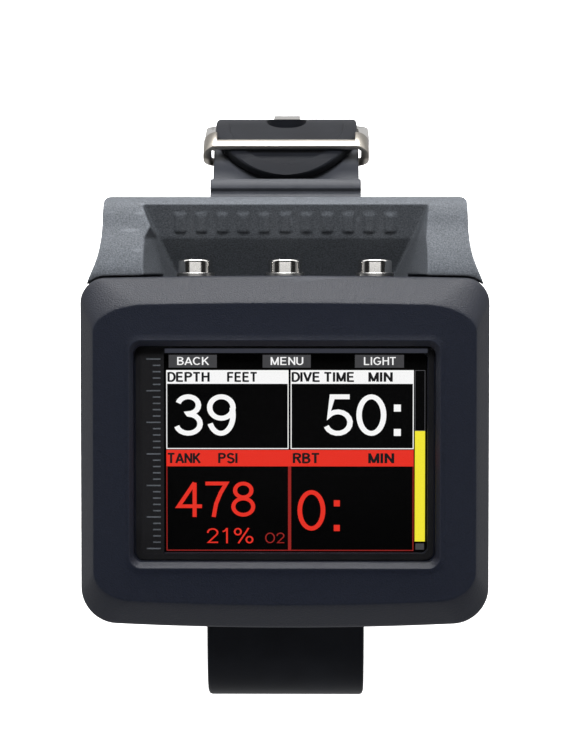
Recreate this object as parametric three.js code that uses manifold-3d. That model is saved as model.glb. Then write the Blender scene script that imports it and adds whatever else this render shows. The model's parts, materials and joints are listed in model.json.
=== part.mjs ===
// Wrist-worn dive computer: a sealed colour-display case with three push buttons, a button guard
// that also carries the strap lugs, and a two-part elastomer strap closed by a steel tang buckle.
// Millimetres. +X towards 3 o'clock, +Y towards 12 o'clock, +Z out of the display.
// The origin is the centre of the wrist-side face.
import * as THREE from "three";
import { mergeVertices } from "three/addons/utils/BufferGeometryUtils.js";
import Module from "manifold-3d";

const wasm = await Module();
wasm.setup();

// ---------------------------------------------------------------- driving dimensions
const FRONT_Z = 25; // front plane of the case
const CASE_W = 70.5; // widest part of the front housing
const CASE_H = 59.4; // at its ends; the long sides bow out from there
const CASE_SHIFT = -0.2; // the case's middle sits a little towards 6 o'clock
const BOW_TOP = 0.5;
const BOW_BOTTOM = 1;
const CASE_TOP = CASE_H / 2 + CASE_SHIFT + BOW_TOP;
const CASE_CORNERS = [4.2, 4.2, 6, 6]; // radii along X and Y, at 12 o'clock and then at 6 o'clock
const FACE_W = 65.3; // flat front face inside the bevel
const FACE_H = 50;
const FACE_CORNERS = [9, 4.4, 6.5, 4.6];
const BEVEL_DEPTH = 5;
const SPLIT_Z = 9; // seam between the front housing and the shells behind it
const CAVITY = { width: 59, height: 48.6, corner: 10.3 };

const WINDOW_W = 51.6; // pocket that holds the window
const WINDOW_H = 37;
const WINDOW_AT = [0, -0.5]; // the window and display sit a little towards 6 o'clock
const WINDOW_CORNER = 1.5;
const WINDOW_TOP = FRONT_Z - 1.3;
const WINDOW_THICK = 1.2;
const SEAL_THICK = 0.4;
const LEDGE = 1.3; // width of the ledge under the window
const DISPLAY_W = 49.5;
const DISPLAY_H = 37;
const DISPLAY_AT = [1.9, WINDOW_AT[1]]; // it sits off centre, towards 3 o'clock

const GUARD_END = 44; // 12 o'clock end of the guard
const GUARD_W = 64.4;
const GAP = 0.3; // clearance between pieces that touch on the real object

const BUTTON_PITCH = 15.7;
const BUTTON_Z = 12.6;
const CAP_R = 3;
const CAP_TIP = 32.9; // outer end of a button at rest
const COLLAR_END = 30.5; // outer end of the button's bush
const BUSH_START = 23.6;

const UPPER_PIN = [40.6, 1.5]; // [y, z] of the spring bar at the 12 o'clock lugs
const LOWER_PIN = [-28.6, 1.5];
const BUCKLE_PIN = [55.2, -26];
const FRAME_BAR = [57.9, -36.6]; // centre of the buckle frame's far bar
const BEND_OFFSET = [9, -59.5]; // from each lug pin to the strap's bend behind the wrist
const UPPER_BEND = [UPPER_PIN[0] + BEND_OFFSET[0], UPPER_PIN[1] + BEND_OFFSET[1]];
const LOWER_BEND = [LOWER_PIN[0] + BEND_OFFSET[0], LOWER_PIN[1] + BEND_OFFSET[1]];
const PIN_R = 0.9;
const PIN_BORE = 1.25;
const KNUCKLE_R = 2.7;
const STRAP_W = 27;
const TAIL_W = 26.2;
const ROOT_W = 28.2;
const LONG_THICK = 2.2;
const SHORT_THICK = 2.1;
const LUG_GAP = 14.7; // half the width between the lugs

// Where the two straps lie over each other they follow arcs about one centre, so the keeper can slide.
const OVERLAP_CENTRE = [39.4, -20.5];
const OVERLAP_R = 17.4; // middle of the two layers
const KEEPER_ANGLE = 42; // degrees up from +Y about the overlap's centre
const overlapPoint = (radius, degrees) => {
  const a = (degrees * Math.PI) / 180;
  return [OVERLAP_CENTRE[0] + radius * Math.cos(a), OVERLAP_CENTRE[1] + radius * Math.sin(a)];
};
const overlapArc = (radius, ...angles) => angles.map((degrees) => overlapPoint(radius, degrees));

// Centreline of the long strap, [y, z], from the tip of its tail round the wrist to the lower lugs.
const TAIL_LINE = [
  ...overlapArc(OVERLAP_R + 1.43, 64, 52, 40, 28, 16, 5),
  [58.4, -22.5],
  [58.5, -26.2],
  [57.4, -31],
  [54.6, -36.4],
  [53.2, -43],
  [52.6, -50],
  UPPER_BEND,
];
const BACK_LINE = [
  UPPER_BEND,
  [44, -61.3],
  [36, -62.3],
  [28, -62.3],
  [14, -62.3],
  [0, -62.3],
  [-7, -62.2],
  [-13, -61],
  LOWER_BEND,
];
const ROOT_LINE = [
  LOWER_BEND,
  [-28.5, -53],
  [-38, -43.5],
  [-44, -31],
  [-46, -17],
  [-45.6, -6],
  [-43.6, -0.2],
  [-39, 2.2],
  [-32, 3],
  [LOWER_PIN[0] - 0.4, LOWER_PIN[1] + 1],
];
const SHORT_LINE = [
  [UPPER_PIN[0] + 1, UPPER_PIN[1] - 0.6],
  [44.4, -3.6],
  ...overlapArc(OVERLAP_R - 1.15, 62, 52, 40, 28, 16, 5),
  [BUCKLE_PIN[0], BUCKLE_PIN[1] + 0.4],
];

const TAU = Math.PI * 2;
const ROUND_STEPS = 20; // facets of a full turn on pins, caps and bushes
const CORNER_STEPS = 6; // facets of a rounded corner
const BOW_STEPS = 8; // facets of the case's bowed sides

// ---------------------------------------------------------------- materials
const finish = (color, roughness, metalness = 0) =>
  new THREE.MeshStandardMaterial({ color, roughness, metalness });
const FINISH = {
  housing: finish(0x2a2d36, 0.62),
  guard: finish(0x3c3f44, 0.66),
  rubber: finish(0x1d2024, 0.8),
  strap: finish(0x24272c, 0.7),
  steel: finish(0xd8d4cc, 0.16, 1),
  brushed: finish(0xb4b2ac, 0.35, 1),
  glass: finish(0x08090c, 0.05),
  board: finish(0x1d4a2c, 0.55),
  cell: finish(0x5d6570, 0.45, 0.3),
  gold: finish(0xd2a94a, 0.25, 1),
  brass: finish(0xb8923e, 0.3, 1),
  moulding: finish(0x17181a, 0.5),
};

// ---------------------------------------------------------------- solids
// A closed three.js geometry as a manifold-3d solid.
function solid(geometry) {
  const g = geometry.clone();
  g.deleteAttribute("normal");
  g.deleteAttribute("uv");
  const merged = mergeVertices(g, 1e-4);
  return new wasm.Manifold(
    new wasm.Mesh({
      numProp: 3,
      vertProperties: new Float32Array(merged.attributes.position.array),
      triVerts: new Uint32Array(merged.index.array),
    }),
  );
}

const join = (...parts) => parts.reduce((a, b) => a.add(b));
const cut = (body, ...tools) => tools.reduce((a, b) => a.subtract(b), body);

function geometryOf(body) {
  const mesh = body.getMesh();
  const position = new Float32Array(mesh.numVert * 3);
  for (let i = 0; i < mesh.numVert; i++) {
    const start = i * mesh.numProp;
    position.set(mesh.vertProperties.subarray(start, start + 3), i * 3);
  }
  const geometry = new THREE.BufferGeometry();
  geometry.setAttribute("position", new THREE.BufferAttribute(position, 3));
  geometry.setIndex(new THREE.BufferAttribute(new Uint32Array(mesh.triVerts), 1));
  geometry.computeVertexNormals();
  return geometry;
}

const group = new THREE.Group();
function place(name, body, material, [x, y, z] = [0, 0, 0]) {
  const mesh = new THREE.Mesh(geometryOf(body), material);
  mesh.name = name;
  mesh.position.set(x, y, z);
  group.add(mesh);
}

function box(x0, x1, y0, y1, z0, z1) {
  const geometry = new THREE.BoxGeometry(x1 - x0, y1 - y0, z1 - z0);
  return solid(geometry.translate((x0 + x1) / 2, (y0 + y1) / 2, (z0 + z1) / 2));
}

// A rod between two values along one axis, centred on the other two coordinates (in x, y, z order).
function rod(axis, radius, from, to, [u, v], steps = ROUND_STEPS) {
  const geometry = new THREE.CylinderGeometry(radius, radius, to - from, steps);
  const middle = (from + to) / 2;
  if (axis === "x") geometry.rotateZ(-Math.PI / 2).translate(middle, u, v);
  if (axis === "y") geometry.translate(u, middle, v);
  if (axis === "z") geometry.rotateX(Math.PI / 2).translate(u, v, middle);
  return solid(geometry);
}

// A rounded rectangle outline as points, anticlockwise.
function roundedOutline(width, height, radius, steps = CORNER_STEPS) {
  const points = [];
  const corners = [
    [1, 1, 0],
    [-1, 1, 1],
    [-1, -1, 2],
    [1, -1, 3],
  ];
  for (const [sx, sy, quarter] of corners)
    for (let i = 0; i <= steps; i++) {
      const a = ((quarter + i / steps) * TAU) / 4;
      points.push([
        sx * (width / 2 - radius) + radius * Math.cos(a),
        sy * (height / 2 - radius) + radius * Math.sin(a),
      ]);
    }
  return points;
}

// Outline of the case: quarter-ellipse corners, and long sides that bow outwards.
function caseOutline(width, height, [topX, topY, bottomX, bottomY]) {
  const points = [];
  const corner = (sx, sy, quarter, rx, ry) => {
    for (let i = 0; i <= CORNER_STEPS; i++) {
      const a = ((quarter + i / CORNER_STEPS) * TAU) / 4;
      points.push([sx * (width / 2 - rx) + rx * Math.cos(a), sy * (height / 2 - ry) + ry * Math.sin(a)]);
    }
  };
  const side = (sy, rx) => {
    for (let i = 1; i < BOW_STEPS; i++)
      points.push([-sy * (2 * i / BOW_STEPS - 1) * (width / 2 - rx), (sy * height) / 2]);
  };
  corner(1, 1, 0, topX, topY);
  side(1, topX);
  corner(-1, 1, 1, topX, topY);
  corner(-1, -1, 2, bottomX, bottomY);
  side(-1, bottomX);
  corner(1, -1, 3, bottomX, bottomY);
  return points.map(([x, y]) => {
    const bow = y > 0 ? BOW_TOP : BOW_BOTTOM;
    const share = (1 - ((2 * x) / width) ** 2) * ((2 * y) / height);
    return [x, y + bow * share + CASE_SHIFT];
  });
}

// A solid skinned over rings of [x, y, z] points, each anticlockwise seen from the last ring's side.
function skin(rings) {
  const n = rings[0].length;
  const index = [];
  for (let k = 0; k + 1 < rings.length; k++)
    for (let i = 0; i < n; i++) {
      const j = (i + 1) % n;
      const [a, b, c, d] = [k * n + i, k * n + j, (k + 1) * n + j, (k + 1) * n + i];
      index.push(a, b, c, a, c, d);
    }
  const top = (rings.length - 1) * n;
  for (let i = 1; i + 1 < n; i++) index.push(0, i + 1, i, top, top + i, top + i + 1);
  const geometry = new THREE.BufferGeometry();
  geometry.setAttribute("position", new THREE.BufferAttribute(new Float32Array(rings.flat(2)), 3));
  geometry.setIndex(index);
  return solid(geometry);
}

// A solid skinned over level outlines: [[outline, z], ...], bottom first.
const loft = (levels) => skin(levels.map(([outline, z]) => outline.map(([x, y]) => [x, y, z])));

// A rounded plate or block between two heights.
function slab(width, height, radius, z0, z1, [x, y] = [0, 0], steps = CORNER_STEPS) {
  const outline = roundedOutline(width, height, radius, steps).map(([u, v]) => [u + x, v + y]);
  return loft([
    [outline, z0],
    [outline, z1],
  ]);
}

// A [y, z] outline pushed out along X.
function prism(points, x0, x1) {
  const shape = new THREE.Shape(points.map(([y, z]) => new THREE.Vector2(y, z)));
  const geometry = new THREE.ExtrudeGeometry(shape, { depth: x1 - x0, bevelEnabled: false });
  const toWorld = new THREE.Matrix4().makeBasis(
    new THREE.Vector3(0, 1, 0),
    new THREE.Vector3(0, 0, 1),
    new THREE.Vector3(1, 0, 0),
  );
  return solid(geometry.applyMatrix4(toWorld).translate(x0, 0, 0));
}

// A closed profile of [radius, height] points turned about Z.
function turned(profile, steps = ROUND_STEPS) {
  const points = profile.map(([r, h]) => new THREE.Vector2(r, h));
  return solid(new THREE.LatheGeometry(points, steps).rotateX(Math.PI / 2));
}

// A ring of round section about the Y axis, as an O-ring on a button sits.
function ringAboutY(radius, tube, y) {
  const geometry = new THREE.TorusGeometry(radius, tube, 6, ROUND_STEPS);
  return solid(geometry.rotateX(Math.PI / 2).translate(0, y, 0));
}

// ---------------------------------------------------------------- strap profiles
function smooth(line, steps) {
  const curve = new THREE.CatmullRomCurve3(
    line.map(([y, z]) => new THREE.Vector3(y, z, 0)),
    false,
    "centripetal",
  );
  return curve.getPoints(steps).map((p) => [p.x, p.y]);
}

// The side profile of a strip of even thickness that follows a line.
function strip(line, thickness) {
  const left = [];
  const right = [];
  line.forEach(([y, z], i) => {
    const [py, pz] = line[Math.max(i - 1, 0)];
    const [ny, nz] = line[Math.min(i + 1, line.length - 1)];
    const length = Math.hypot(ny - py, nz - pz);
    const normal = [-(nz - pz) / length, (ny - py) / length];
    left.push([y + (normal[0] * thickness) / 2, z + (normal[1] * thickness) / 2]);
    right.push([y - (normal[0] * thickness) / 2, z - (normal[1] * thickness) / 2]);
  });
  return [...left.reverse(), ...right];
}

const strapPiece = (line, steps, thickness, width) =>
  prism(strip(smooth(line, steps), thickness), -width / 2, width / 2);
const knuckle = (pin, radius, width) => rod("x", radius, -width / 2, width / 2, pin, 20);
const bore = (pin, radius) => rod("x", radius, -20, 20, pin, 20);

// ---------------------------------------------------------------- front housing and window
function frontHousing() {
  const side = caseOutline(CASE_W, CASE_H, CASE_CORNERS);
  const shoulder = caseOutline(CASE_W - 0.7, CASE_H - 1.2, CASE_CORNERS);
  const bevel = caseOutline(CASE_W - 2.5, CASE_H - 4.3, [6, 4.3, 6.2, 5.4]);
  const body = loft([
    [caseOutline(CASE_W - 1, CASE_H - 1, CASE_CORNERS), SPLIT_Z],
    [side, FRONT_Z - BEVEL_DEPTH - 1.5],
    [side, FRONT_Z - BEVEL_DEPTH],
    [shoulder, FRONT_Z - BEVEL_DEPTH * 0.82],
    [bevel, FRONT_Z - BEVEL_DEPTH * 0.44],
    [caseOutline(FACE_W, FACE_H, FACE_CORNERS), FRONT_Z],
  ]);
  const roof = FRONT_Z - 4.2;
  const cavity = slab(CAVITY.width, CAVITY.height, CAVITY.corner, SPLIT_Z - 1, roof);
  const ledgeZ = WINDOW_TOP - WINDOW_THICK - SEAL_THICK;
  const pocket = slab(WINDOW_W, WINDOW_H, WINDOW_CORNER, ledgeZ, FRONT_Z + 1, WINDOW_AT);
  const opening = slab(WINDOW_W - 2 * LEDGE, WINDOW_H - 2 * LEDGE, 1, roof - 1, FRONT_Z, WINDOW_AT);
  const lip = loft([
    [roundedOutline(WINDOW_W, WINDOW_H, WINDOW_CORNER), FRONT_Z - 0.9],
    [roundedOutline(WINDOW_W + 1.4, WINDOW_H + 2, WINDOW_CORNER + 0.5), FRONT_Z],
    [roundedOutline(WINDOW_W + 1.4, WINDOW_H + 2, WINDOW_CORNER + 0.5), FRONT_Z + 1],
  ]).translate([...WINDOW_AT, 0]);
  const bushHoles = BUTTON_X.map((x) => rod("y", BUSH_R + 0.1, 20, 34, [x, BUTTON_Z]));
  const threads = SCREW_PLACES.map(([x, y]) => rod("z", 1.15, SPLIT_Z - 1, 19, [x, y], 16));
  return cut(body, cavity, pocket, opening, lip, ...bushHoles, ...threads);
}

const BUTTON_X = [-BUTTON_PITCH, 0, BUTTON_PITCH];
const SCREW_PLACES = [
  [-28.3, 23.3],
  [28.3, 23.3],
  [-28.3, -23.3],
  [28.3, -23.3],
];

function windowGlass() {
  return slab(
    WINDOW_W - GAP,
    WINDOW_H - GAP,
    WINDOW_CORNER,
    WINDOW_TOP - WINDOW_THICK,
    WINDOW_TOP,
    WINDOW_AT,
  );
}

function windowSeal() {
  const z1 = WINDOW_TOP - WINDOW_THICK - 0.05;
  const z0 = z1 - SEAL_THICK + 0.1;
  const inside = [WINDOW_W - 2 * LEDGE + 0.2, WINDOW_H - 2 * LEDGE + 0.2];
  return cut(
    slab(WINDOW_W - 0.5, WINDOW_H - 0.5, WINDOW_CORNER, z0, z1, WINDOW_AT),
    slab(...inside, 1.1, z0 - 1, z1 + 1, WINDOW_AT),
  );
}

// ---------------------------------------------------------------- inside the case
function displayPanel() {
  return slab(DISPLAY_W, DISPLAY_H, 1, 17.9, 20.5, DISPLAY_AT, 3);
}

function displayFrame() {
  const tray = slab(DISPLAY_W + 2.4, DISPLAY_H + 2.4, 1.5, 16.6, 19.6, DISPLAY_AT, 3);
  const seat = slab(DISPLAY_W + 0.6, DISPLAY_H + 0.6, 1, 17.6, 21, DISPLAY_AT, 3);
  const lightening = box(-18, 20, -12, 12, 16, 18);
  return cut(tray, seat, lightening);
}

function mainBoard() {
  const board = slab(CAVITY.width - 1, 46.6, CAVITY.corner - 1, 14.9, 16.1);
  const chips = [
    box(-14, -5, -6, 3, 13.9, 15),
    box(2, 8, -8, -2, 14.1, 15),
    box(12, 20, 2, 8, 13.7, 15),
    box(-24, -19, -14, -8, 14, 15),
  ];
  return join(board, ...chips);
}

// Right-angle tactile switch under the board's 12 o'clock edge, its plunger facing the button.
function tactileSwitch() {
  const body = box(-3, 3, 16.2, 20.2, 11, 14.6);
  const plunger = rod("y", 1, 20, BUSH_START - 2.35, [0, BUTTON_Z], 16);
  return join(body, plunger);
}

function batteryPack() {
  return slab(42, 30, 2, 6.2, 12.4, [0, -2.5], 4);
}

function batteryPad() {
  return slab(19, 24, 1, 2.1, 5.9, [-10.5, 1.5], 3);
}

function soundDisc() {
  return rod("z", 5.5, 2.1, 2.9, [13, -4.5]);
}

// ---------------------------------------------------------------- shells behind the seam
const BACK_PLATE = { width: 48, height: 40, corner: 6 };

// The pan that seals the case: a flange under the front housing and a raised plate at the back.
function backCase() {
  const flange = slab(CASE_W - 4.1, CASE_H - 3.9, 9, 6.6, SPLIT_Z - GAP);
  const plate = slab(BACK_PLATE.width, BACK_PLATE.height, BACK_PLATE.corner, 0.4, 7);
  const face = loft([
    [roundedOutline(BACK_PLATE.width - 3, BACK_PLATE.height - 3, BACK_PLATE.corner - 1), 0],
    [roundedOutline(BACK_PLATE.width, BACK_PLATE.height, BACK_PLATE.corner), 1],
  ]);
  const inside = slab(44.6, 36.6, 4, 1.8, SPLIT_Z + 1);
  const screwHoles = SCREW_PLACES.map(([x, y]) => rod("z", 1.5, 6, 10, [x, y], 16));
  const groove = cut(SEAL_LINE(0.2, 7.9, 10), SEAL_LINE(-0.9, 7, 11));
  const contacts = CONTACT_X.map((x) => rod("z", 1.3, -1, 3, [x, CONTACT_Y], 16));
  const sensorSeat = rod("z", 5.2, 1.2, 4, SENSOR_AT);
  const sensorPorts = [0, 1, 2].map((k) => {
    const a = (k / 3) * TAU + TAU / 4;
    return rod("z", 0.8, -1, 2, [SENSOR_AT[0] + 2.2 * Math.cos(a), SENSOR_AT[1] + 2.2 * Math.sin(a)], 12);
  });
  const holes = [...screwHoles, ...contacts, ...sensorPorts];
  return cut(join(flange, plate, face), inside, groove, sensorSeat, ...holes);
}

const CONTACT_X = [-7.5, -2.5, 2.5, 7.5];
const CONTACT_Y = -13;
const SENSOR_AT = [13, 8];

// The case seal runs inside the screws; a plate of its outline grown by some amount.
const SEAL_LINE = (grow, z0, z1) => slab(61.4 + 2 * grow, 51 + 2 * grow, 11.5 + grow, z0, z1);

function caseSeal() {
  return cut(SEAL_LINE(0, 8, SPLIT_Z - 0.15), SEAL_LINE(-0.7, 7, 10));
}

function pressureSensor() {
  const can = turned([
    [0, 0],
    [5, 0],
    [5, 1.3],
    [3.9, 1.3],
    [3.9, 3.2],
    [0, 3.2],
  ]);
  return can.translate([SENSOR_AT[0], SENSOR_AT[1], 1.95]);
}

function sensorSeal() {
  const ring = turned(
    [
      [3.9, 0],
      [5, 0],
      [5, 0.5],
      [3.9, 0.5],
      [3.9, 0],
    ],
    20,
  );
  return ring.translate([SENSOR_AT[0], SENSOR_AT[1], 1.3]);
}

function contactPin() {
  return turned(
    [
      [0, 0],
      [1, 0],
      [1, 2.1],
      [1.6, 2.1],
      [1.6, 2.9],
      [0, 2.9],
    ],
    16,
  );
}

// Guard and lug frame: a collar round the back plate, a hopper that shields the buttons, and lugs.
function guardFrame() {
  const collar = loft([
    [roundedOutline(62, 52, 8), 0.6],
    [roundedOutline(66.5, 56.5, 8.5), 3.4],
    [roundedOutline(CASE_W - 1.6, CASE_H - 1.6, 7), SPLIT_Z - GAP],
  ]);
  const hump = prism(
    [
      [HORN_END - 3, SPLIT_Z - GAP],
      [20, SPLIT_Z - GAP],
      [20, 1],
      [34, -0.4],
      [39, -1.2],
      [42.4, -1.2],
      [43.7, 0],
      [GUARD_END, 6],
      [GUARD_END - 0.4, 9.6],
      [GUARD_END - 1.6, 11.2],
      [GUARD_END - 5, 13.2],
      [CASE_TOP + 4, 16.8],
      [CASE_TOP + GAP, 18],
      [HORN_END, 17.2],
    ],
    -CASE_W / 2,
    CASE_W / 2,
  );
  const trim = loft(
    [
      [-3, -0.8],
      [4, -0.4],
      [19, 0],
    ].map(([z, grow]) => [guardPlan(grow), z]),
  );
  const lowerEars = [-1, 1].map((side) => {
    const x0 = side > 0 ? LUG_GAP : -LUG_GAP - 5;
    const ear = [
      [-24, 5],
      [-24, 0.8],
      [-26.4, -1.1],
      [-29.4, -1.3],
      [-31.2, 0],
      [-31.6, 2],
      [-30.6, 4.4],
      [-29, 6],
    ];
    return prism(ear, x0, x0 + 5);
  });
  const middle = slab(BACK_PLATE.width + 0.6, BACK_PLATE.height + 0.6, BACK_PLATE.corner, -2, 20);
  const flangeSeat = slab(CASE_W - 3.5, CASE_H - 3.3, 9.3, 6.3, 20);
  const screwSteps = SCREW_PLACES.flatMap(([x, y]) => [
    rod("z", 2.6, -1, 4.2, [x, y], 16),
    rod("z", 1.5, 4, 7, [x, y], 16),
  ]);
  const upperBay = prism(
    [
      [35.2, -3],
      [35.2, 4.2],
      [37.6, 6.4],
      [46, 6.4],
      [46, -3],
    ],
    -LUG_GAP,
    LUG_GAP,
  );
  const lowerBay = prism(
    [
      [-24.4, -3],
      [-24.4, 4.4],
      [-26, 6.1],
      [-36, 6.1],
      [-36, -3],
    ],
    -LUG_GAP,
    LUG_GAP,
  );
  const pinHoles = [UPPER_PIN, LOWER_PIN].map((pin) => rod("x", PIN_R + 0.2, -17.2, 17.2, pin, 16));
  const body = join(collar, hump.intersect(trim), ...lowerEars);
  const clearOutline = caseOutline(CASE_W + 2 * GAP, CASE_H + 2 * GAP, CASE_CORNERS);
  const caseClearance = loft([
    [clearOutline, SPLIT_Z - GAP],
    [clearOutline, FRONT_Z],
  ]);
  return cut(
    body,
    middle,
    flangeSeat,
    caseClearance,
    hopper(),
    upperBay,
    lowerBay,
    ...screwSteps,
    ...pinHoles,
  );
}

// Plan outline of the guard: round outer corners, and sides that flare into horns round the case.
const HORN_END = 26.5;
function guardPlan(grow) {
  const half = GUARD_W / 2 + grow;
  const right = [
    [half + 2, 20],
    [half + 2.7, 23],
    [half + 3.1, 25.6],
    [half + 2.9, 27.2],
    [half + 2.2, 28.8],
    [half + 0.9, 32],
    [half + 0.3, 34.2],
    [half, 37],
    [half, 43.1],
    [half - 0.9, GUARD_END],
  ];
  const left = right.map(([x, y]) => [-x, y]).reverse();
  return [...right, ...left];
}

// The hollow that the buttons stand in: a finger ramp, a steeper drop, and splayed side walls.
function hopper() {
  const lid = 24;
  const ring = (y, z, half, mouth) => [
    [-half, y, z],
    [-mouth, y, lid],
    [mouth, y, lid],
    [half, y, z],
  ];
  return skin([
    ring(CASE_TOP - 1, 1.6, 18.9, 26.3),
    ring(36.6, 8.2, 22.5, 27.4),
    ring(GUARD_END - 1.4, 11.4, 25.2, 25.7),
  ]);
}

// A countersunk case screw with a hexagon socket, seen from behind.
function caseScrew() {
  const body = turned(
    [
      [0, 0],
      [2.3, 0],
      [2.3, 1.8],
      [1.05, 1.8],
      [1.05, 13],
      [0, 13],
    ],
    20,
  );
  return cut(body, rod("z", 1.15, -1, 1.1, [0, 0], 6));
}

// ---------------------------------------------------------------- push buttons
const CHAMBER_R = CAP_R + 0.12;
const BUSH_R = 3.38;
const STEM_R = 1.1;
const CAP_START = 27.4;
const CHAMBER_START = BUSH_START + 1.2;

function buttonCap() {
  const profile = [
    [0, BUSH_START - 1.0],
    [STEM_R - 0.2, BUSH_START - 1.0],
    [STEM_R - 0.2, BUSH_START - 0.5],
    [0.7, BUSH_START - 0.5],
    [0.7, BUSH_START + 0.1],
    [STEM_R, BUSH_START + 0.1],
    [STEM_R, CAP_START],
    [CAP_R, CAP_START],
    [CAP_R, CAP_START + 0.7],
    [CAP_R - 0.85, CAP_START + 0.7],
    [CAP_R - 0.85, CAP_START + 1.8],
    [CAP_R, CAP_START + 1.8],
    [CAP_R, CAP_TIP - 1.1],
    [CAP_R - 0.25, CAP_TIP - 0.35],
    [CAP_R - 0.85, CAP_TIP],
    [0, CAP_TIP],
  ];
  return solid(new THREE.LatheGeometry(profile.map(([r, h]) => new THREE.Vector2(r, h)), ROUND_STEPS));
}

function buttonBush() {
  return cut(
    rod("y", BUSH_R, BUSH_START, COLLAR_END, [0, 0]),
    rod("y", CHAMBER_R, CHAMBER_START, COLLAR_END + 1, [0, 0]),
    rod("y", STEM_R + 0.15, BUSH_START - 1, CHAMBER_START + 1, [0, 0]),
  );
}

class Coil extends THREE.Curve {
  constructor(radius, start, length, turns) {
    super();
    Object.assign(this, { radius, start, length, turns });
  }
  getPoint(t, target = new THREE.Vector3()) {
    const a = t * this.turns * TAU;
    return target.set(this.radius * Math.cos(a), this.start + this.length * t, this.radius * Math.sin(a));
  }
}

function buttonSpring() {
  const wire = 0.24;
  const path = new Coil(2.1, CHAMBER_START + wire + 0.05, CAP_START - CHAMBER_START - 2 * wire - 0.1, 3.5);
  const section = new THREE.Shape().absarc(0, 0, wire, 0, TAU);
  const geometry = new THREE.ExtrudeGeometry(section, {
    steps: 38,
    curveSegments: 3,
    bevelEnabled: false,
    extrudePath: path,
  });
  return solid(geometry);
}

const buttonSeal = () => ringAboutY(CAP_R - 0.42, 0.38, CAP_START + 1.25);

function buttonClip() {
  const ring = cut(
    rod("y", 2, BUSH_START - 0.45, BUSH_START - 0.1, [0, 0], 20),
    rod("y", 0.8, BUSH_START - 1, BUSH_START + 1, [0, 0], 20),
    box(-0.55, 0.55, BUSH_START - 1, BUSH_START + 1, -3, 0),
  );
  return ring;
}

// ---------------------------------------------------------------- strap
const springBar = (pin, half) => rod("x", PIN_R, -half, half, pin, 16);

// The 12 o'clock strap: a thick root with a grip ridge, then a thin strip to the buckle pin.
function shortStrap() {
  const root = prism(
    [
      [UPPER_PIN[0] - 1.9, UPPER_PIN[1] + 1.9],
      [UPPER_PIN[0] - 2.6, UPPER_PIN[1] + 0.5],
      [UPPER_PIN[0] - 2.2, UPPER_PIN[1] - 1.6],
      [UPPER_PIN[0], UPPER_PIN[1] - KNUCKLE_R],
      [43.2, -3.8],
      [44.8, -4.6],
      [46.4, -3.2],
      [45.6, -2.4],
      [46.6, -0.6],
      [47.3, 1],
      [47.1, 2.4],
      [45.6, 3.4],
      [44.9, 2.9],
      [44.2, 3.7],
      [42, 4.4],
      [UPPER_PIN[0], UPPER_PIN[1] + KNUCKLE_R],
    ].reverse(),
    -STRAP_W / 2,
    STRAP_W / 2,
  );
  const strap = strapPiece(SHORT_LINE, 22, SHORT_THICK, STRAP_W - 0.4);
  const end = knuckle(BUCKLE_PIN, 1.85, STRAP_W - 0.4);
  const [y, z] = BUCKLE_PIN;
  const tongueSlot = box(-3.1, 3.1, y - 3.2, y + 4, z - 3, z + 3.4);
  return cut(join(root, strap, end), tongueSlot, bore(UPPER_PIN, PIN_BORE), bore(BUCKLE_PIN, PIN_R + 0.2));
}

const SLOT = { width: 7.4, length: 6.8, corner: 3 };

// A slot through the long strap's tail, square to its surface where its line passes a height.
function strapSlot(line, height) {
  const i = line.findIndex(([, z]) => z < height);
  const [y0, z0] = line[Math.max(i - 1, 0)];
  const [y1, z1] = line[Math.min(i + 1, line.length - 1)];
  const shape = roundedOutline(SLOT.width, SLOT.length, SLOT.corner, 4);
  const hole = loft([
    [shape, -3],
    [shape, 3],
  ]);
  const tilt = (Math.atan2(z1 - z0, y1 - y0) * 180) / Math.PI;
  return hole.rotate([tilt, 0, 0]).translate([0, line[i][0], line[i][1]]);
}

// The tail of the long strap: a round tip over the short strap, slots, and a round end at the bend.
function strapTail() {
  const line = smooth(TAIL_LINE, 44);
  const strap = prism(strip(line, LONG_THICK), -TAIL_W / 2, TAIL_W / 2);
  const end = knuckle(UPPER_BEND, LONG_THICK / 2, TAIL_W);
  const reach = 40;
  const plan = slab(TAIL_W, 2 * reach, TAIL_W / 2 - 0.1, -8, 8, [0, reach], 10);
  const [tip, next] = TAIL_LINE;
  const tilt = (Math.atan2(next[1] - tip[1], next[0] - tip[0]) * 180) / Math.PI;
  const tipPlan = plan.rotate([tilt, 0, 0]).translate([0, TAIL_LINE[0][0], TAIL_LINE[0][1]]);
  const beyondTip = box(-20, 20, 30, 70, -70, -12);
  const rounded = strap.intersect(join(tipPlan, beyondTip));
  const slots = SLOT_HEIGHTS.map((height) => strapSlot(line, height));
  return cut(join(rounded, end), ...slots);
}

// The middle slot is the one that the buckle's tongue goes through.
const SLOT_HEIGHTS = [-16.2, -27.9, -39.8];

// Even strips whose ends are cut back where they meet a bend, so that they can turn there.
function strapBack() {
  const strap = strapPiece(BACK_LINE, 28, LONG_THICK, TAIL_W + 0.6);
  return cut(strap, bore(UPPER_BEND, LONG_THICK / 2 + 0.55), bore(LOWER_BEND, LONG_THICK / 2 + 0.55));
}

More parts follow.
